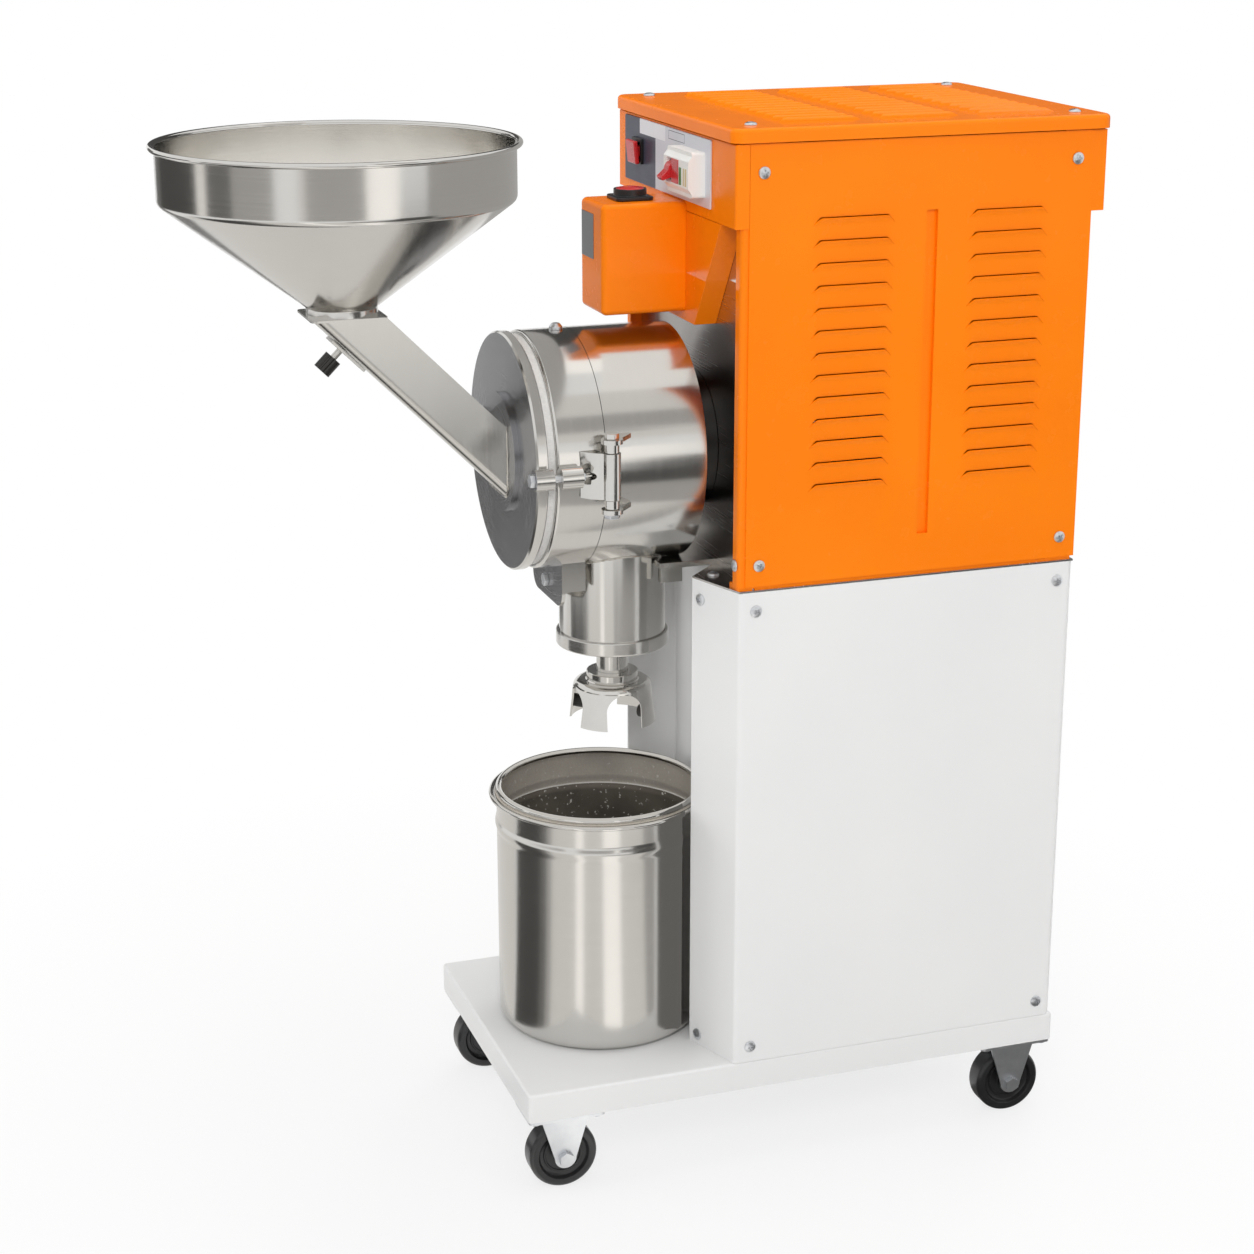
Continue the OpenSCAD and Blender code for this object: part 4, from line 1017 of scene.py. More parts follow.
@dataclass
class Maker:
    """What every sub-assembly needs: the finishes, and a way to put a piece in its place."""

    finishes: Finishes

    def fit(
        self, piece: bpy.types.Object, body: str, slot: str, finish: bpy.types.Material, *nodes: str
    ) -> None:
        """Dress a piece, let it ride on its body and stand for CAD nodes.

        Args:
            piece: The finished piece.
            body: The body that it moves with.
            slot: The record's material slot; not used.
            finish: Its material.
            nodes: The CAD nodes that it stands for.
        """
        if not piece.data.materials:
            piece.data.materials.append(finish)
        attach(piece, body)
        if nodes:
            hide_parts(*nodes)
        LOG.info("%s rides on %s with %d faces", piece.name, body, len(piece.data.polygons))

    def softened(
        self, node: str, body: str, slot: str, finish: bpy.types.Material, width: float, steps: int = 2
    ) -> bpy.types.Object:
        """Put a copy of a CAD node with broken edges in the node's place.

        Args:
            node: The CAD node.
            body: The body that it moves with.
            slot: The record's material slot.
            finish: Its material.
            width: How wide the broken edges are.
            steps: How many faces make an edge.

        Returns:
            The copy.
        """
        piece = Bench.copy_of(node, node + "_skin")
        Bench.soften(piece, width, steps)
        self.fit(piece, body, slot, finish, node)
        return piece

    def paint(self, finish: bpy.types.Material, *nodes: str) -> None:
        """Give CAD nodes that keep their own shape a finish.

        Args:
            finish: The material.
            nodes: The CAD nodes.
        """
        for node in nodes:
            target = frame["nodes"][node]
            if not target.material_slots:
                target.data.materials.append(finish)
            for place in target.material_slots:
                place.material = finish
            LOG.info("%s keeps its shape with %s", node, finish.name)


@dataclass
class Cabinet(Maker):
    """Tray, white lower cabinet and orange upper cabinet, with lid and hoods."""

    half_w: float = 0.175
    tray_top: float = 0.122
    lid_top: float = 1.115
    lid_half_w: float = 0.179
    lid_y: tuple[float, float] = (0.061, 0.471)
    lid_corner: float = 0.012
    lid_band: float = 0.0125
    hood_y: float = 0.065
    hood_z: tuple[float, float] = (1.0181, 1.0996)
    tray_round: float = 0.0032
    lid_round: float = 0.0045
    hood_round: float = 0.0024

    def build(self) -> None:
        """Make the whole cabinet."""
        self.tray()
        self.lower()
        self.upper()
        self.lid()
        self.hoods()

    def tray(self) -> None:
        """Make the tray with its folded top edges."""
        piece = Bench.copy_of("base_tray", "base_tray_skin")
        Bench.round_edges(piece, self._on_tray_rim, self.tray_round)
        Bench.soften(piece, Edge.FOLD)
        self.fit(piece, "frame", "white_paint", self.finishes.white, "base_tray")

    def _on_tray_rim(self, first: Vector, second: Vector) -> bool:
        """Tell whether an edge lies round the tray's top."""
        return all(point.z > self.tray_top - TOUCH for point in (first, second))

    def lower(self) -> None:
        """Make the white panels and the ledge plate."""
        for node in ("lower_side_right", "lower_side_left", "recess_panel", "lower_rear_panel"):
            self.softened(node, "frame", "white_paint", self.finishes.white, Edge.FOLD)
        self.softened("ledge_plate", "frame", "polished_steel", self.finishes.mirror, Edge.PLATE)

    def upper(self) -> None:
        """Make the orange frame and panels and the polished front plate."""
        for node in ("upper_frame", "upper_side_right", "upper_side_left", "upper_rear_panel"):
            self.softened(node, "frame", "orange_paint", self.finishes.orange, Edge.FOLD)
        self.softened("front_plate", "frame", "polished_steel", self.finishes.mirror, Edge.PLATE)

    def lid(self) -> None:
        """Make the lid with its drawn edge and louvres."""
        piece = Bench.copy_of("top_lid", "top_lid_skin")
        Bench.round_edges(piece, self._on_lid_rim, self.lid_round, 5)
        Bench.soften(piece, Edge.FOLD)
        self.fit(piece, "frame", "orange_paint", self.finishes.orange, "top_lid")

    def _on_lid_rim(self, first: Vector, second: Vector) -> bool:
        """Tell whether an edge lies round the lid's top.

        Args:
            first: The edge's one end.
            second: Its other end.

        Returns:
            True where it does.
        """
        band = self.lid_band
        for point in (first, second):
            at_side = abs(point.x) > self.lid_half_w - band
            at_end = point.y < self.lid_y[0] + band or point.y > self.lid_y[1] - band
            if abs(point.z - self.lid_top) > TOUCH or not (at_side or at_end):
                return False
        return (first - second).length > TOUCH and self._outside(first) and self._outside(second)

    def _outside(self, point: Vector) -> bool:
        """Tell whether a point lies on the lid's outline.

        Args:
            point: The point.

        Returns:
            True where it does.
        """
        corner = self.lid_corner
        over_x = max(abs(point.x) - (self.lid_half_w - corner), 0.0)
        middle = sum(self.lid_y) / 2
        over_y = max(abs(point.y - middle) - (self.lid_y[1] - middle - corner), 0.0)
        return math.hypot(over_x, over_y) > corner - 2 * TOUCH

    def hoods(self) -> None:
        """Make the control hood in front and the hood behind."""
        front = Bench.copy_of("control_hood", "control_hood_skin")
        Bench.round_edges(front, self._on_hood_front, self.hood_round)
        Bench.soften(front, Edge.FOLD)
        self.fit(front, "frame", "orange_paint", self.finishes.orange, "control_hood")
        self.softened("rear_hood", "frame", "orange_paint", self.finishes.orange, Edge.METAL)

    def _on_hood_front(self, first: Vector, second: Vector) -> bool:
        """Tell whether an edge lies round the hood's front face.

        Args:
            first: The edge's one end.
            second: Its other end.

        Returns:
            True where it does.
        """
        low, high = self.hood_z
        for point in (first, second):
            at_front = point.y < self.hood_y + TOUCH
            at_side = abs(point.x) > self.half_w - TOUCH
            at_end = point.z < low or point.z > high
            if not at_front or not (at_side or at_end):
                return False
        return True


@dataclass
class Casters(Maker):
    """Four rigid casters: zinc forks, axles and black wheels."""

    wheel_r: float = 0.0375
    half_w: float = 0.013
    bore: float = 0.00505
    hub: float = 0.0157
    places: tuple[tuple[str, float, float], ...] = (
        ("front_right", 0.146, -0.113),
        ("front_left", -0.146, -0.113),
        ("rear_right", 0.146, 0.413),
        ("rear_left", -0.146, 0.413),
    )

    def build(self) -> None:
        """Make forks, axles, bolts and wheels."""
        finishes = self.finishes
        self.softened("caster_brackets", "frame", "zinc", finishes.zinc, Edge.METAL)
        self.softened("caster_axles", "frame", "zinc", finishes.zinc, Edge.FOLD)
        self.softened("caster_bolts", "frame", "zinc", finishes.zinc, Edge.BOLT)
        for corner, x, y in self.places:
            node = "wheel_" + corner
            piece = Bench.turn(node + "_tyre", self.outline(), (x, y, self.wheel_r), "X", 96)
            self.fit(piece, node, "wheel_black", finishes.wheel, node)

    def outline(self) -> list[tuple[float, float]]:
        """Draw the wheel's section.

        Returns:
            The closed outline, from hub to tread and back.
        """
        r = self.wheel_r
        half = [
            (self.bore, self.hub),
            (self.bore + 0.0042, self.hub),
            (self.bore + 0.005, self.hub - 0.0008),
            (self.bore + 0.0058, self.half_w - 0.0052),
            (self.bore + 0.0072, self.half_w - 0.006),
            (r - 0.0185, self.half_w - 0.0056),
            (r - 0.0178, self.half_w - 0.0046),
            (r - 0.0165, self.half_w - 0.0046),
            (r - 0.0158, self.half_w - 0.0056),
            (r - 0.0125, self.half_w - 0.005),
            (r - 0.0112, self.half_w - 0.004),
            (r - 0.0096, self.half_w - 0.0006),
            (r - 0.0088, self.half_w),
        ]
        half += arc((r - 0.005, self.half_w - 0.005), 0.005, 90, 4, 8)
        half += [(r, 0.004)]
        other = [(radius, -x) for radius, x in reversed(half)]
        return half + other + half[:1]


@dataclass
class Fasteners(Maker):
    """Pan head screws with cross recesses, modelled once and copied to every place."""

    head_r: float = 0.00625
    head_h: float = 0.0034
    shank_r: float = 0.0025
    shank_l: float = 0.004
    recess_w: float = 0.0013
    recess_l: float = 0.0062
    recess_d: float = 0.0016
    side_x: float = 0.175
    lower_side: tuple[tuple[float, float], tuple[float, float]] = ((0.092, 0.434), (0.140, 0.629))
    upper_side: tuple[tuple[float, float], tuple[float, float]] = ((0.0945, 0.434), (0.677, 1.072))
    wing: tuple[float, float] = (0.117206, 0.05365)
    wing_out: tuple[float, float] = (0.3321, -0.9433)
    wing_z: tuple[float, float] = (0.134, 0.629)
    lid_x: float = 0.149
    lid_y: tuple[float, float] = (0.090, 0.442)
    lid_z: float = 1.115
    rear: tuple[float, float] = (0.155, 0.452)
    rear_z: tuple[float, float, float] = (0.140, 0.629, 0.677)
    flange: tuple[float, float, float] = (0.1665, 0.072, 0.677)
    ledge: tuple[float, float, float] = (0.107, 0.071, 0.651)

    def build(self) -> None:
        """Make all panel screws as one piece."""
        model = self.screw()
        copies = []
        for count, (spot, way) in enumerate(self.spots()):
            copy = model.copy()
            copy.data = model.data.copy()
            bpy.context.scene.collection.objects.link(copy)
            turn = Vector(way).to_track_quat("Z", "Y").to_matrix().to_4x4()
            spin = Matrix.Rotation(math.radians(37 * count % 90), 4, "Z")
            copy.data.transform(Matrix.Translation(Vector(spot)) @ turn @ spin)
            copies.append(copy)
        bpy.data.objects.remove(model)
        piece = Bench.join("panel_screw_heads", copies)
        Bench.smooth(piece, 35.0)
        self.fit(piece, "frame", "zinc", self.finishes.zinc, "panel_screws")

    def screw(self) -> bpy.types.Object:
        """Make one screw.

        Returns:
            The screw, whose head seats on z = 0.
        """
        outline = [(0.0, -self.shank_l), (self.shank_r, -self.shank_l), (self.shank_r, 0.0)]
        outline += [(self.head_r - 0.0003, 0.0), (self.head_r, 0.0003), (self.head_r, 0.0011)]
        outline += [(self.head_r - 0.0004, 0.0018), (0.0045, 0.0025), (0.0031, 0.0031)]
        outline += [(0.0, self.head_h)]
        piece = Bench.turn("pan_screw", outline, (0, 0, 0), "Z", 24)
        for size in ((self.recess_l, self.recess_w), (self.recess_w, self.recess_l)):
            low = (-size[0] / 2, -size[1] / 2, self.head_h - self.recess_d)
            high = (size[0] / 2, size[1] / 2, 2 * self.head_h)
            Bench.cut(piece, Bench.block("recess", low, high, Edge.TOOL, 1))
        return piece

    def spots(self) -> list[tuple[tuple[float, float, float], tuple[float, float, float]]]:
        """List the screws.

        Returns:
            Every screw's place and the way its head faces.
        """
        found = []
        for side in (1, -1):
            for ys, zs in (self.lower_side, self.upper_side):
                found += [((side * self.side_x, y, z), (side, 0, 0)) for y in ys for z in zs]
            way = (side * self.wing_out[0], self.wing_out[1], 0)
            found += [((side * self.wing[0], self.wing[1], z), way) for z in self.wing_z]
            found += [((side * self.lid_x, y, self.lid_z), (0, 0, 1)) for y in self.lid_y]
            found += [((side * self.rear[0], self.rear[1], z), (0, 1, 0)) for z in self.rear_z]
            found.append(((side * self.flange[0], self.flange[1], self.flange[2]), (0, -1, 0)))
            found.append(((side * self.ledge[0], self.ledge[1], self.ledge[2]), (0, 0, 1)))
        return found


@dataclass
class Controls(Maker):
    """Control panel with rocker and breaker, and the starter box with its stop button."""

    breaker_front: float = 0.045
    window_x: tuple[float, float] = (0.0475, 0.0675)
    window_z: tuple[float, float] = (1.0495, 1.0735)
    window_corner: float = 0.0085
    flag_x: tuple[tuple[float, float], ...] = ((0.069, 0.0755), (0.081, 0.084), (0.0865, 0.0905))
    flag_z: tuple[float, float] = (1.0495, 1.067)
    rocker_at: tuple[float, float, float] = (-0.105, 0.065, 1.063)
    rocker_half: tuple[float, float] = (0.0136, 0.0122)
    rocker_out: tuple[float, float] = (0.0116, 0.0068)
    rocker_tilt: float = 6.0
    rocker_stem: tuple[float, float] = (0.009, 0.005)
    rocker_lap: float = 0.001
    proud: float = 0.0006
    sunk: float = 0.001
    box_front: float = -0.025
    plate_x: tuple[float, float] = (-0.030, 0.008)
    plate_z: tuple[float, float] = (0.969, 1.015)
    plate_corner: float = 0.003
    plate_proud: float = 0.0005
    plate_edge: float = 0.0006
    stop_at: tuple[float, float, float] = (0.0, 0.017, 1.0275)
    stop_r: float = 0.0145
    stop_low: float = 0.0073
    stop_top: float = 0.0125
    stem_r: float = 0.006
    stem_low: float = -0.008
    collar_z: tuple[float, float] = (0.004, 0.0112)
    collar_play: float = 0.0003
    collar_wall: float = 0.0022
    collar_round: float = 0.0008

    def build(self) -> None:
        """Make the panel, the switches and the starter."""
        finishes = self.finishes
        self.softened("control_panel", "frame", "panel_aluminium", finishes.panel, Edge.PLATE)
        self.softened("rocker_bezel", "frame", "black_plastic", finishes.black, Edge.RIM)
        self.rocker()
        self.softened("breaker_body", "frame", "breaker_white", finishes.breaker, Edge.MOULD, 3)
        self.softened("breaker_toggle", "toggle", "red_plastic", finishes.red, Edge.METAL)
        self.softened("starter_neck", "frame", "orange_paint", finishes.orange, Edge.FOLD)
        self.softened("starter_box", "frame", "orange_paint", finishes.orange, Edge.FINE)
        self.softened("stop_base", "frame", "black_plastic", finishes.black, Edge.MOULD, 3)
        self.inlays()
        self.blank_plate()
        self.stop_button()

    def rocker(self) -> None:
        """Make the rocker's broad cap, tilted as at rest, with its stem in the bezel."""
        x, y, z = self.rocker_at
        half_w, half_h = self.rocker_half
        front, back = self.rocker_out
        low = (x - half_w, y - front, z - half_h)
        cap = Bench.block("rocker_cap", low, (x + half_w, y - back, z + half_h), Edge.ROCKER, 4)
        stem_w, stem_h = self.rocker_stem
        near = (x - stem_w, y - back - self.rocker_lap, z - stem_h)
        stem = Bench.block("rocker_stem", near, (x + stem_w, y, z + stem_h), Edge.PLATE)
        piece = Bench.join("rocker_cap", [cap, stem])
        pivot = Matrix.Translation(Vector(self.rocker_at))
        tilt = Matrix.Rotation(math.radians(self.rocker_tilt), 4, "X")
        piece.data.transform(pivot @ tilt @ pivot.inverted())
        self.fit(piece, "rocker", "red_plastic", self.finishes.red, "rocker")

    def inlays(self) -> None:
        """Make the breaker's window and its coloured flags."""
        face = self.breaker_front
        low = (self.window_x[0], face - self.proud, self.window_z[0])
        high = (self.window_x[1], face + self.sunk, self.window_z[1])
        window = Bench.block("breaker_window", low, high, Edge.FINE)
        Bench.round_edges(window, self._upright_corner, self.window_corner)
        Bench.smooth(window)
        self.fit(window, "frame", "red_plastic", self.finishes.red)
        colours = (self.finishes.green, self.finishes.amber, self.finishes.amber)
        for count, (span, finish) in enumerate(zip(self.flag_x, colours)):
            low = (span[0], face - self.proud / 2, self.flag_z[0])
            high = (span[1], face + self.sunk, self.flag_z[1])
            flag = Bench.block("breaker_flag_%d" % count, low, high, Edge.TRIM)
            self.fit(flag, "frame", "breaker_white", finish)

    def _upright_corner(self, first: Vector, second: Vector) -> bool:
        """Tell whether an edge runs along Y, as at the corner of a flat plate."""
        return abs(first.y - second.y) > self.plate_edge

    def blank_plate(self) -> None:
        """Make the blank plate on the starter's front."""
        low = (self.plate_x[0], self.box_front - self.plate_proud, self.plate_z[0])
        high = (self.plate_x[1], self.box_front + self.sunk, self.plate_z[1])
        plate = Bench.block("starter_plate", low, high, Edge.TRIM, 2)
        Bench.round_edges(plate, self._upright_corner, self.plate_corner)
        Bench.smooth(plate)
        self.fit(plate, "frame", "panel_aluminium", self.finishes.plate)

    def stop_button(self) -> None:
        """Make the crowned stop button in its collar."""
        r = self.stop_r
        low = self.stop_low
        top = self.stop_top
        outline = [(0.0, self.stem_low), (self.stem_r, self.stem_low), (self.stem_r, low)]
        outline += [(r - 0.0004, low), (r, low + 0.0004)]
        outline += arc((r - 0.0016, top - 0.0022), 0.0016, 0, 72, 6)
        outline += [(r - 0.0042, top - 0.0002), (0.0055, top + 0.0003), (0.0, top + 0.0004)]
        piece = Bench.turn("stop_button_cap", outline, self.stop_at, "Z", 72)
        self.fit(piece, "stop_button", "red_plastic", self.finishes.red, "stop_button")
        wall = r + self.collar_play
        outer = wall + self.collar_wall
        bend = self.collar_round
        base, crest = self.collar_z
        rim = [(wall, base), (outer, base), (outer, crest - bend)]
        rim += arc((outer - bend, crest - bend), bend, 0, 90, 5)
        rim += [(wall + 0.0004, crest), (wall, crest - 0.0004), (wall, base)]
        collar = Bench.turn("stop_collar", rim, self.stop_at, "Z", 72)
        self.fit(collar, "frame", "black_plastic", self.finishes.black)


@dataclass
class Chamber(Maker):
    """Grinding chamber with its hub, bracket, hinge and outlet."""

    axis_z: float = 0.774
    drum_r: float = 0.124
    spout_r: float = 0.057
    spout_y: float = -0.004
    seam_y: float = -0.049
    rear_y: float = 0.05
    cap_z: float = 0.555
    cap_h: float = 0.015
    cap_wall: float = 0.003
    cap_floor: float = 0.002
    cap_play: float = 0.0003
    tube_r: float = 0.017
    tube_l: float = 0.036
    tube_wall: float = 0.002
    tube_bend: float = 0.002
    hinge_at: tuple[float, float] = (0.140, -0.050)
    pin_r: float = 0.005
    pin_play: float = 0.0001
    ear_gaps: tuple[tuple[float, float], ...] = ((0.7405, 0.7501), (0.7979, 0.8075))
    ear_in: float = 0.03
    ear_out: float = 0.02
    core_r: float = 0.1244
    core_l: float = 0.2
    spacer_wall: float = 0.0024
    spacer_play: float = 0.0002
    spacer_edge: float = 0.0005
    nut_z: float = 0.7334
    nut_r: float = 0.0086
    nut_h: float = 0.0046
    collar_z: float = 0.511
    collar_r: float = 0.028
    collar_h: float = 0.012
    crown_r: float = 0.0468
    crown_drop: float = 0.044
    crown_seat: float = 0.0002
    crown_sheet: float = 0.002
    crown_bend: float = 0.006
    crown_knee: float = 0.0345
    arch_r: float = 0.0195
    arch_drop: float = 0.0245
    arch_span: float = 0.07
    arch_leg: float = 0.04
    weld_r: float = 0.0012
    weld_clear: float = 0.003
    weld_start: float = -235.0
    weld_sweep: float = 290.0
    weld_steps: int = 120

    def build(self) -> None:
        """Make the drum, the hinge and the outlet."""
        finishes = self.finishes
        self.drum()
        # The hub is dark steel as painted shade, for the deep shade between the drum and the plate.
        self.softened("chamber_hub", "frame", "cover_steel", finishes.shade, Edge.FOLD)
        self.softened("chamber_bracket", "frame", "plain_steel", finishes.satin, Edge.FOLD)
        self.softened("hinge_pin", "frame", "polished_steel", finishes.polished, Edge.METAL)
        self.hinge()
        self.spider()
        self.softened("spider_studs", "frame", "black_rubber", finishes.rubber, Edge.MOULD, 3)
        self.cap()
        self.spout_weld()

    def drum(self) -> None:
        """Make the drum with slim hinge ears, polished all round, with painted shade in dark steel on
        its rear face.
        """
        piece = Bench.copy_of("chamber_body", "chamber_body_skin")
        x, y = self.hinge_at
        for low, high in self.ear_gaps:
            near = (x - self.ear_in, y - self.ear_out, low)
            far = (x + self.ear_out, y + self.ear_in, high)
            gap = Bench.block("ear_gap", near, far, Edge.TOOL, 1)
            core = Bench.rod("drum_core", (0, y, self.axis_z), self.core_r, self.core_l, "Y", 256)
            Bench.cut(gap, core)
            Bench.cut(piece, gap)
        Bench.soften(piece, Edge.METAL)
        piece.data.materials.append(self.finishes.drum)
        piece.data.materials.append(self.finishes.shade)
        # Faces towards the plate take the dark steel as painted shade.
        for face in piece.data.polygons:
            face.material_index = int(face.normal.y > FACING and face.center.y > self.rear_y)
        self.fit(piece, "frame", "polished_steel", self.finishes.drum, "chamber_body")

    def hinge(self) -> None:
        """Make the spacers between leaf and ears, and the nut under the pin."""
        x, y = self.hinge_at
        bore = self.pin_r + self.pin_play
        outer = self.pin_r + self.spacer_wall
        edge = self.spacer_edge
        spacers = []
        for low, high in self.ear_gaps:
            base = low + self.spacer_play
            top = high - self.spacer_play
            outline = [(bore, base), (outer - edge, base), (outer, base + edge), (outer, top - edge)]
            outline += [(outer - edge, top), (bore, top), (bore, base)]
            spacers.append(Bench.turn("hinge_spacer", outline, (x, y, 0), "Z", 64))
        self.fit(Bench.join("hinge_spacers", spacers), "frame", "polished_steel", self.finishes.polished)
        nut = Bench.rod("hinge_nut", (x, y, self.nut_z), self.nut_r, self.nut_h, "Z", 6)
        Bench.soften(nut, Edge.RIM, 3)
        self.fit(nut, "frame", "zinc", self.finishes.zinc)

    def spider(self) -> None:
        """Make the spider: a low collar and a flared crown with four arched openings."""
        bore = self.tube_r + self.cap_play
        r = self.collar_r
        seat = self.crown_seat
        sheet = self.crown_sheet
        bend = self.crown_bend
        knee = (self.crown_knee, seat - bend)
        outline = [(bore, seat), (bore, self.collar_h), (r - 0.0008, self.collar_h)]
        outline += [(r, self.collar_h - 0.0008), (r, 0.0032), (r + 0.001, 0.0022)]
        outline += arc(knee, bend + sheet, 90, 6, 10)
        outline += [(self.crown_r, -self.crown_drop), (self.crown_r - sheet, -self.crown_drop)]
        outline += arc(knee, bend, 6, 90, 10)
        outline += [(bore, seat)]
        middle = (0, self.spout_y, self.collar_z)
        piece = Bench.turn("spider_crown", outline, middle, "Z", 128)
        spot = Vector(middle) - Vector((0, 0, self.arch_drop))
        along_x = Vector((self.arch_span, self.arch_r, 0))
        along_y = Vector((self.arch_r, self.arch_span, 0))
        for axis, span in (("X", along_x), ("Y", along_y)):
            Bench.cut(piece, Bench.rod("arch", spot, self.arch_r, 2 * self.arch_span, axis, 96))
            low = spot - span - Vector((0, 0, self.arch_leg))
            Bench.cut(piece, Bench.block("arch_legs", low, spot + span, Edge.TOOL, 1))
        Bench.soften(piece, Edge.FINE)
        self.fit(piece, "frame", "polished_steel", self.finishes.polished, "outlet_spider")

    def cap(self) -> None:
        """Make the spun outlet cap with its tube."""
        inner = self.spout_r + self.cap_play
        outer = inner + self.cap_wall
        bore = self.tube_r - self.tube_wall
        bend = self.tube_bend
        floor = self.cap_floor
        end = -self.tube_l
        outline = [(bore, end), (self.tube_r - 0.0003, end), (self.tube_r, end + 0.0003)]
        outline += arc((self.tube_r + bend, -bend), bend, 180, 90, 5)
        outline += arc((outer - 0.0025, 0.0025), 0.0025, -90, 0, 6)
        outline += [(outer, self.cap_h - 0.0012)]
        outline += arc((outer - 0.0008, self.cap_h - 0.0008), 0.0008, 0, 90, 4)
        outline += [(inner, self.cap_h), (inner, floor), (bore, floor), (bore, end)]
        piece = Bench.turn("outlet_cap_spun", outline, (0, self.spout_y, self.cap_z), "Z", 128)
        self.fit(piece, "frame", "polished_steel", self.finishes.hopper, "outlet_cap")

    def spout_weld(self) -> None:
        """Make the weld where the outlet spout meets the drum."""
        path = []
        for step in range(self.weld_steps + 1):
            angle = math.radians(self.weld_start + step * self.weld_sweep / self.weld_steps)
            x = self.spout_r * math.cos(angle)
            y = self.spout_y + self.spout_r * math.sin(angle)
            if y > self.seam_y + self.weld_clear:
                path.append((x, y, self.axis_z - math.sqrt(self.drum_r**2 - x * x)))
        piece = Bench.bead("spout_weld", path, self.weld_r, False, 4)
        self.fit(piece, "frame", "plain_steel", self.finishes.weld)


@dataclass
class Door(Maker):
    """Swinging door ring with its cover, gasket and bolts, and the hand knob on the far side."""

    axis_z: float = 0.774
    face_r: float = 0.115
    foot_z: float = 0.66

    def build(self) -> None:
        """Make the door's pieces."""
        finishes = self.finishes
        self.ring()
        self.cover()
        self.softened("cover_gasket", "door", "black_rubber", finishes.felt, Edge.PLATE)
        self.softened("cover_bolts", "door", "zinc", finishes.zinc, Edge.METAL)
        self.softened("door_knob", "door_knob", "black_plastic", finishes.black, Edge.KNOB, 3)

    def ring(self) -> None:
        """Make the ring, polished all round, with a painted dark reflection on the front of its foot."""
        piece = Bench.copy_of("door_ring", "door_ring_skin")
        Bench.soften(piece, Edge.METAL)
        piece.data.materials.append(self.finishes.drum)
        piece.data.materials.append(self.finishes.cover)
        # Front faces of the foot take the darker lathe-faced steel of the cover: a painted dark
        # reflection.
        for face in piece.data.polygons:
            face.material_index = int(face.normal.y < -FACING and face.center.z < self.foot_z)
        self.fit(piece, "door", "polished_steel", self.finishes.drum, "door_ring")

    def cover(self) -> None:
        """Make the cover, faced on a lathe in front and polished round its rim."""
        piece = Bench.copy_of("cover_disc", "cover_disc_skin")
        Bench.soften(piece, Edge.COVER, 3)
        piece.data.materials.append(self.finishes.cover)
        piece.data.materials.append(self.finishes.drum)
        for face in piece.data.polygons:
            spot = face.center
            radius = math.hypot(spot.x, spot.z - self.axis_z)
            face.material_index = int(radius > self.face_r and face.normal.y > -FACING)
        self.fit(piece, "door", "cover_steel", self.finishes.cover, "cover_disc")


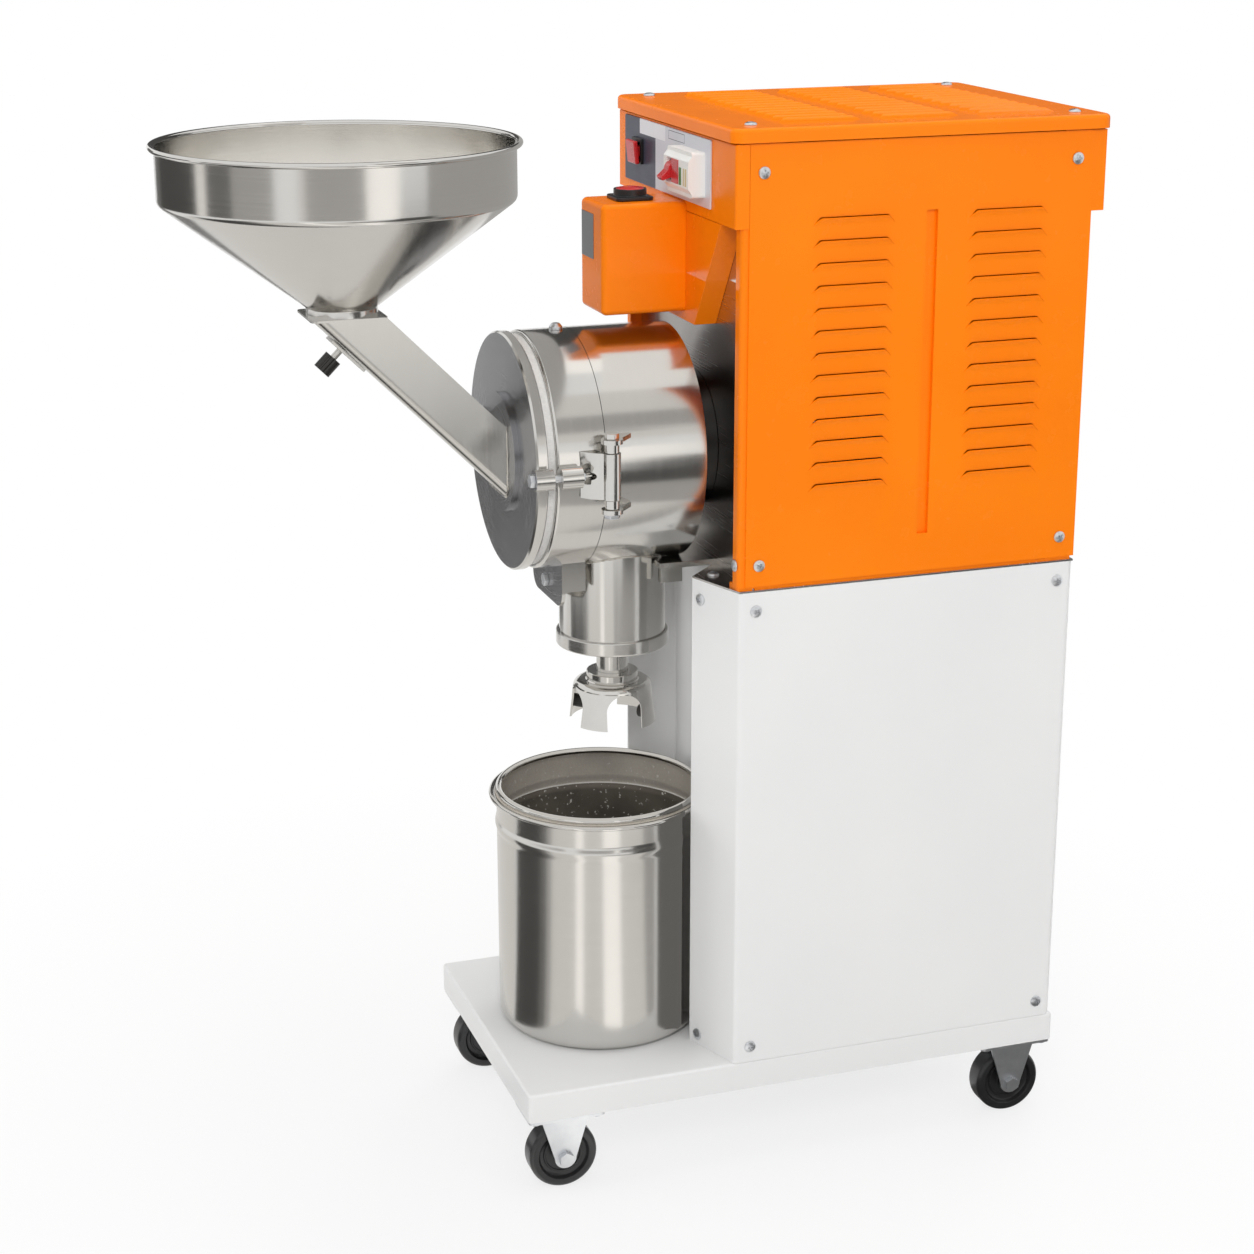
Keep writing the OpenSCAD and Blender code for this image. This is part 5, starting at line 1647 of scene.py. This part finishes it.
@dataclass
class Feed(Maker):
    """Hopper, chute and feed gate, with their welds."""

    hopper_y: float = -0.287
    rim_z: float = 1.099
    rim_r: float = 0.1832
    bead_r: float = 0.0029
    wall_r: float = 0.177
    wall_h: float = 0.056
    sheet: float = 0.002
    neck_r: float = 0.036
    neck_z: float = 0.928
    boss_y: float = -0.128
    chute_half_w: float = 0.037
    chute_h: float = 0.052
    chute_r: float = 0.010
    rim_drop: float = 0.002
    weld_r: float = 0.0013
    weld_out: float = 0.0004

    def build(self) -> None:
        """Make the hopper, the chute, the gate and the welds."""
        finishes = self.finishes
        self.hopper()
        self.softened("chute", "door", "plain_steel", finishes.satin, Edge.METAL)
        self.softened("feed_gate", "gate", "plain_steel", finishes.satin, Edge.FINE)
        self.softened("gate_knob", "gate_knob", "black_plastic", finishes.shade, Edge.FOLD)
        self.foot_weld()

    def hopper(self) -> None:
        """Make the spun hopper with its rolled rim."""
        wall = self.wall_r
        wall_z = self.rim_z - self.wall_h
        inner = wall - self.sheet
        centre = (self.rim_r - self.bead_r, self.rim_z - self.bead_r)
        neck = self.neck_r
        bore = neck - self.sheet
        low = self.neck_z
        outline = [(neck, low), (neck, low + 0.0065), (neck + 0.0006, low + 0.008)]
        outline += [(wall - 0.003, wall_z - 0.0036), (wall - 0.0012, wall_z - 0.0018)]
        outline += [(wall - 0.0002, wall_z + 0.0006)]
        outline += [(wall, wall_z + 0.003), (wall, centre[1] - 0.0016)]
        outline += arc(centre, self.bead_r, -148, 168, 26)
        outline += [(inner + 0.0004, centre[1] + 0.0002), (inner, centre[1] - 0.0012)]
        outline += [(inner, wall_z + 0.004), (inner - 0.0012, wall_z + 0.0012)]
        outline += [(inner - 0.004, wall_z - 0.0014)]
        outline += [(bore + 0.001, low + 0.0092), (bore, low + 0.0075), (bore, low), (neck, low)]
        piece = Bench.turn("hopper_spun", outline, (0, self.hopper_y, 0), "Z", 192)
        for finish in (self.finishes.hopper, self.finishes.lining, self.finishes.rim):
            piece.data.materials.append(finish)
        # Inside faces take the lighter copy of the steel as painted light, and the rim takes the rim
        # steel.
        for face in piece.data.polygons:
            spot = face.center
            inward = face.normal.x * spot.x + face.normal.y * (spot.y - self.hopper_y) < 0
            face.material_index = 2 if spot.z > centre[1] - self.rim_drop else int(inward)
        self.fit(piece, "door", "polished_steel", self.finishes.hopper, "hopper")

    def foot_weld(self) -> None:
        """Make the weld round the chute's foot on the cover's boss."""
        slope = math.sqrt(2)
        middle = self.neck_z - (self.boss_y - self.hopper_y)
        half_h = self.chute_h / 2 * slope
        w = self.chute_half_w
        r = self.chute_r
        path = [(w - 2 * w * i / 12, half_h) for i in range(13)]
        path += [(-w, half_h - (2 * half_h - r * slope) * i / 12) for i in range(1, 13)]
        for step in range(1, 9):
            angle = math.radians(180 + 90 * step / 8)
            path.append((r - w + r * math.cos(angle), (r + r * math.sin(angle)) * slope - half_h))
        path += [(r - w + (2 * w - 2 * r) * i / 10, -half_h) for i in range(1, 11)]
        for step in range(1, 9):
            angle = math.radians(270 + 90 * step / 8)
            path.append((w - r + r * math.cos(angle), (r + r * math.sin(angle)) * slope - half_h))
        path += [(w, r * slope - half_h + (2 * half_h - r * slope) * i / 12) for i in range(1, 12)]
        points = [(x, self.boss_y - self.weld_out, middle + z) for x, z in path]
        piece = Bench.bead("chute_weld", points, self.weld_r, True, 11)
        self.fit(piece, "door", "plain_steel", self.finishes.weld)


@dataclass
class Bucket(Maker):
    """Spun steel bucket with a pressed bead, a flange and a rolled rim."""

    centre_y: float = -0.020
    floor_z: float = 0.122
    radius: float = 0.112
    height: float = 0.273
    wall: float = 0.0015
    rim_r: float = 0.1093
    rim: float = 0.0037
    lip_r: float = 0.1177
    lip: float = 0.0025
    lip_drop: float = 0.0089
    bead_out: float = 0.0017
    bead_drop: float = 0.042
    bead_half: float = 0.0075
    foot_r: float = 0.016
    # The inside finish, with specks, painted shade and a painted highlight ring, starts this far below
    # the rim.
    inside_drop: float = 0.006
    bright_drop: float = 0.0035
    lining_depth: float = 0.6
    floor_facing: float = 0.7

    def build(self) -> None:
        """Make the bucket, bright outside, and inside specked, with painted shade low down and a painted
        highlight ring.
        """
        outer = self.side(0.0)
        inner = self.side(self.wall)
        lip_z = self.height - self.lip_drop
        outline = outer + [(self.radius + 0.0008, lip_z - 0.0029), (self.radius + 0.003, lip_z - 0.0025)]
        outline += arc((self.lip_r, lip_z), self.lip, -95, 88, 14)
        outline += [(self.radius + 0.003, lip_z + 0.0024), (self.radius + 0.0015, lip_z + 0.0016)]
        outline += arc((self.rim_r, self.height - self.rim), self.rim, -48, 218, 26)
        outline += list(reversed(inner))
        outline += [(0.0, 0.0)]
        piece = Bench.turn("bucket_spun", outline, (0, self.centre_y, self.floor_z), "Z", 192)
        for finish in (self.finishes.bucket, self.finishes.inside, self.finishes.rim):
            piece.data.materials.append(finish)
        limit = self.radius - self.lining_depth * self.wall
        for face in piece.data.polygons:
            spot = face.center
            reach = math.hypot(spot.x, spot.y - self.centre_y)
            inward = face.normal.x * spot.x + face.normal.y * (spot.y - self.centre_y) < 0
            lining = inward or face.normal.z > self.floor_facing
            height = spot.z - self.floor_z
            if lining and reach < limit + self.bead_out and height < self.height - self.inside_drop:
                face.material_index = 1
            elif height > lip_z - self.bright_drop:
                face.material_index = 2
        self.fit(piece, "bucket", "polished_steel", self.finishes.bucket, "bucket")

    def side(self, depth: float) -> list[tuple[float, float]]:
        """Draw the wall's outline.

        Args:
            depth: How deep in the sheet it lies.

        Returns:
            The points from the floor's middle to the rim.
        """
        r = self.radius - depth
        corner = self.foot_r - depth
        bead_z = self.height - self.bead_drop
        points = [(0.0, depth), (r - corner - 0.004, depth)]
        points += arc((r - corner, depth + corner), corner, -90, 0, 14)
        for step in range(21):
            share = step / 10 - 1
            swell = self.bead_out * (0.5 + 0.5 * math.cos(math.pi * share))
            points.append((r + swell, bead_z + self.bead_half * 1.3 * share))
        points.append((r, self.height - self.lip_drop - 0.0042))
        return points


@dataclass
class Drive(Maker):
    """Shaft, rotor, screen, bearings, pulleys, belt and motor inside the cabinet."""

    def build(self) -> None:
        """Give the drive's solids their finishes."""
        finishes = self.finishes
        self.paint(finishes.iron, "motor", "shaft_bearings", "shaft_pulley", "motor_pulley", "rotor")
        self.paint(finishes.zinc, "motor_base")
        self.paint(finishes.polished, "main_shaft", "screen")
        self.paint(finishes.rubber, "drive_belt")


class Tone(Enum):
    """How bright a card looks in polished metal."""

    DARK = 0.08
    DIM = 0.17
    MID = 0.45
    SOFT = 0.82
    PALE = 1.05
    BRIGHT = 1.35


@dataclass(frozen=True)
class Card:
    """A flat card that only polished metal shows."""

    tone: Tone
    corners: tuple[Point, ...]

    @classmethod
    def sector(
        cls, start: float, end: float, tone: Tone, near: tuple[float, float], far: tuple[float, float]
    ) -> "Card":
        """Return a card over a span of angles round the bucket's axis.

        Args:
            start: The first angle, in degrees.
            end: The last angle.
            tone: The card's tone.
            near: Reach and height of its first edge.
            far: Reach and height of its second edge.

        Returns:
            The card.
        """
        spots = ((start, near), (end, near), (end, far), (start, far))
        corners = []
        middle = Bucket.centre_y
        for degrees, (reach, height) in spots:
            angle = math.radians(degrees)
            corners.append((reach * math.cos(angle), reach * math.sin(angle) + middle, height))
        return cls(tone, tuple(corners))

    @classmethod
    def level(cls, tone: Tone, x: tuple[float, float], y: tuple[float, float], z: float) -> "Card":
        """Return a level card over ranges of X and Y."""
        return cls(tone, ((x[0], y[0], z), (x[1], y[0], z), (x[1], y[1], z), (x[0], y[1], z)))

    @classmethod
    def across(cls, tone: Tone, x: tuple[float, float], y: float, z: tuple[float, float]) -> "Card":
        """Return an upright card over ranges of X and Z."""
        return cls(tone, ((x[0], y, z[0]), (x[1], y, z[0]), (x[1], y, z[1]), (x[0], y, z[1])))


@dataclass
class Studio:
    """Camera, soft boxes, cards, pale floor and white surroundings."""

    azimuth: float = 71.2
    elevation: float = 17.43
    roll: float = -0.1
    distance: float = 2.7547
    target: tuple[float, float, float] = (0.0, 0.013, 0.5686)
    lens: float = 73.44
    ambient: float = 0.62
    paper: float = 0.78
    floor_size: float = 14.0
    floor_lift: float = 0.76
    floor_fade: tuple[float, float] = (0.40, 1.1)
    standing: tuple[tuple[float, float, Tone], ...] = (
        (-150.0, -106.0, Tone.DARK),
        (-106.0, -98.0, Tone.PALE),
        (-98.0, -80.5, Tone.DIM),
        (-80.5, -55.0, Tone.MID),
        (-41.0, -37.0, Tone.SOFT),
        (-37.0, -2.0, Tone.MID),
        (-2.0, 20.0, Tone.BRIGHT),
        (39.0, 75.0, Tone.MID),
    )
    lying: tuple[tuple[float, float, Tone], ...] = (
        (-118.0, -84.0, Tone.DARK),
        (-84.0, -76.0, Tone.DIM),
        (-76.0, -70.0, Tone.MID),
        (-70.0, -42.5, Tone.SOFT),
        (-42.5, -34.5, Tone.BRIGHT),
        (-34.5, -14.0, Tone.SOFT),
        (-14.0, 4.0, Tone.BRIGHT),
        (4.0, 30.0, Tone.SOFT),
        (30.0, 46.0, Tone.MID),
        (46.0, 75.0, Tone.DIM),
        (150.0, 239.0, Tone.SOFT),
    )
    stood: tuple[tuple[float, float], tuple[float, float]] = ((2.4, 0.5), (2.4, 1.1))
    laid: tuple[tuple[float, float], tuple[float, float]] = ((0.2, 0.002), (2.3, 0.002))
    single: tuple[Card, ...] = (
        Card.sector(-175.0, -148.0, Tone.DIM, (1.85, 0.004), (2.4, 0.004)),
        Card.sector(-162.5, -148.0, Tone.DIM, (2.4, 0.0), (2.4, 1.5)),
        Card.sector(100.0, 140.0, Tone.DARK, (2.4, 0.0), (2.4, 2.0)),
        Card.sector(5.0, 30.0, Tone.SOFT, (2.4, 1.4), (2.4, 1.8)),
        Card.sector(5.0, 34.0, Tone.MID, (2.4, 1.8), (2.4, 2.6)),
        Card.sector(5.0, 38.0, Tone.SOFT, (2.4, 2.6), (2.4, 4.5)),
        Card.sector(3.0, 42.0, Tone.DARK, (0.80, 0.45), (1.55, 0.45)),
        Card.sector(3.0, 42.0, Tone.MID, (0.42, 0.45), (0.80, 0.45)),
        Card.sector(17.0, 46.0, Tone.DARK, (1.3, 0.003), (2.4, 0.003)),
        Card.sector(-14.0, 17.0, Tone.MID, (1.3, 0.003), (2.4, 0.003)),
        Card.sector(17.0, 46.0, Tone.DARK, (2.4, 0.003), (2.4, 0.66)),
        Card.sector(138.0, 188.0, Tone.DARK, (2.4, 1.12), (2.4, 3.9)),
        Card.sector(-172.0, -162.5, Tone.DIM, (2.4, 0.0), (2.4, 0.25)),
        Card.level(Tone.SOFT, (-0.14, 0.16), (-0.17, 0.09), 0.44),
        Card.sector(70.0, 150.0, Tone.BRIGHT, (0.4, 3.3), (1.2, 3.3)),
        Card.level(Tone.PALE, (0.03, 0.15), (-0.012, 0.087), 0.955),
        Card.across(Tone.MID, (-0.25, 0.30), -0.06, (0.93, 1.13)),
        Card.across(Tone.DIM, (0.09, 0.135), 0.044, (0.125, 0.42)),
    )

    def build(self) -> None:
        """Set up the whole studio."""
        self.camera()
        self.world()
        self.floor()
        self.lamps()
        self.stand_cards()

    def camera(self) -> None:
        """Set the camera up as for the photograph."""
        az = math.radians(self.azimuth)
        el = math.radians(self.elevation)
        back = Vector((math.sin(az) * math.cos(el), -math.cos(az) * math.cos(el), math.sin(el)))
        data = bpy.data.cameras.new("camera")
        data.sensor_width = 36.0
        data.lens = self.lens
        data.clip_end = 50.0
        camera = bpy.data.objects.new("camera", data)
        bpy.context.scene.collection.objects.link(camera)
        camera.location = Vector(self.target) + back * self.distance
        turn = (-back).to_track_quat("-Z", "Y").to_matrix()
        camera.rotation_euler = (turn @ Matrix.Rotation(math.radians(self.roll), 3, "Z")).to_euler()
        bpy.context.scene.camera = camera

    def world(self) -> None:
        """Make the surroundings white for the camera and for reflections, and softer as a light."""
        world = bpy.data.worlds.new("surroundings")
        bpy.context.scene.world = world
        graph = Graph(world)
        seen = graph.rays("Camera", "Glossy", "Transmission")
        strength = self.ambient + (1 - self.ambient) * seen
        sky = graph.node("ShaderNodeBackground", None, {"Color": (1, 1, 1, 1), "Strength": strength})
        out = graph.node("ShaderNodeOutputWorld")
        graph.tree.links.new(sky.outputs[0], out.inputs["Surface"])

    def floor(self) -> None:
        """Lay a pale floor that keeps the mill's shadow and is plain white further away."""
        Bench.clear()
        bpy.ops.mesh.primitive_plane_add(size=self.floor_size, location=(0, 0, 0))
        floor = bpy.context.object
        floor.name = "floor"
        graph = Graph.material("floor_paper")
        x, y, _ = graph.axes()
        away = (x * x + y * y) ** 0.5
        near, far = self.floor_fade
        fade = ((away - near) / (far - near)).most(0.0).least(1.0)
        seen = graph.rays("Camera", "Glossy", "Transmission")
        lift = (self.floor_lift + (1 - self.floor_lift) * fade) * seen
        pale = (self.paper, self.paper, self.paper, 1)
        paper = graph.node("ShaderNodeBsdfDiffuse", None, {"Color": pale})
        glow = graph.node("ShaderNodeEmission", None, {"Color": (1, 1, 1, 1), "Strength": 1.0})
        sockets = {0: lift, 1: paper.outputs[0], 2: glow.outputs[0]}
        both = graph.node("ShaderNodeMixShader", None, sockets)
        out = graph.node("ShaderNodeOutputMaterial")
        graph.tree.links.new(both.outputs[0], out.inputs["Surface"])
        floor.data.materials.append(graph.owner)

    def lamps(self) -> None:
        """Hang the soft boxes."""
        self._box("key_box", (2.8, -1.1, 2.5), (0, 0, 0.6), 1.0, 1.0, 42.0)
        self._box("side_box", (2.6, 1.7, 1.9), (0, 0.2, 0.7), 1.2, 1.6, 8.0)
        self._box("front_box", (-0.9, -2.5, 0.9), (0, 0, 0.5), 1.2, 1.2, 13.0)
        self._box("rear_box", (-2.3, 2.2, 1.5), (0, 0.1, 0.6), 1.6, 1.6, 26.0)
        self._box("top_box", (0.0, 0.3, 3.4), (0, 0.1, 0.5), 1.8, 1.8, 28.0)

    def _box(
        self, name: str, spot: Point, aim: Point, width: float, height: float, power: float
    ) -> None:
        """Hang one soft box.

        Args:
            name: The lamp's name.
            spot: Where it hangs.
            aim: The point that it faces.
            width: Its width.
            height: Its height.
            power: Its power in watts.
        """
        data = bpy.data.lights.new(name, "AREA")
        data.shape = "RECTANGLE"
        data.size = width
        data.size_y = height
        data.energy = power
        lamp = bpy.data.objects.new(name, data)
        lamp.visible_glossy = False
        bpy.context.scene.collection.objects.link(lamp)
        lamp.location = Vector(spot)
        lamp.rotation_euler = (Vector(aim) - Vector(spot)).to_track_quat("-Z", "Y").to_euler()

    def cards(self) -> list[Card]:
        """List the cards.

        Returns:
            Those that stand round the hopper, those that lie on the floor, and the single ones.
        """
        found = [Card.sector(*spec, *self.stood) for spec in self.standing]
        found += [Card.sector(*spec, *self.laid) for spec in self.lying]
        return found + list(self.single)

    def stand_cards(self) -> None:
        """Stand and lay the cards round the mill."""
        cloths = {tone: self._cloth(tone) for tone in Tone}
        for count, card in enumerate(self.cards()):
            piece = Bench.trace("card_%d" % count, card.corners)
            Bench.edit(piece)
            bpy.ops.mesh.edge_face_add()
            Bench.close()
            piece.data.materials.append(cloths[card.tone])
            piece.visible_camera = False
            piece.visible_diffuse = False
            piece.visible_shadow = False

    def _cloth(self, tone: Tone) -> bpy.types.Material:
        """Make the cards' material.

        Args:
            tone: The cards' tone.

        Returns:
            The material.
        """
        graph = Graph.material("card_%s" % tone.name.lower())
        sockets = {"Color": (1, 0.98, 0.95, 1), "Strength": tone.value}
        shade = graph.node("ShaderNodeEmission", None, sockets)
        out = graph.node("ShaderNodeOutputMaterial")
        graph.tree.links.new(shade.outputs[0], out.inputs["Surface"])
        return graph.owner


def main() -> None:
    """Build the studio and every sub-assembly."""
    logging.basicConfig(level=logging.INFO, format="%(message)s")
    scene = bpy.context.scene
    scene.view_settings.view_transform = "Standard"
    Studio().build()
    finishes = Finishes()
    for maker in (Cabinet, Casters, Fasteners, Controls, Chamber, Door, Feed, Bucket, Drive):
        LOG.info("building %s", maker.__name__)
        maker(finishes).build()
    Bench.clear()


if __name__ == "__main__":
    main()
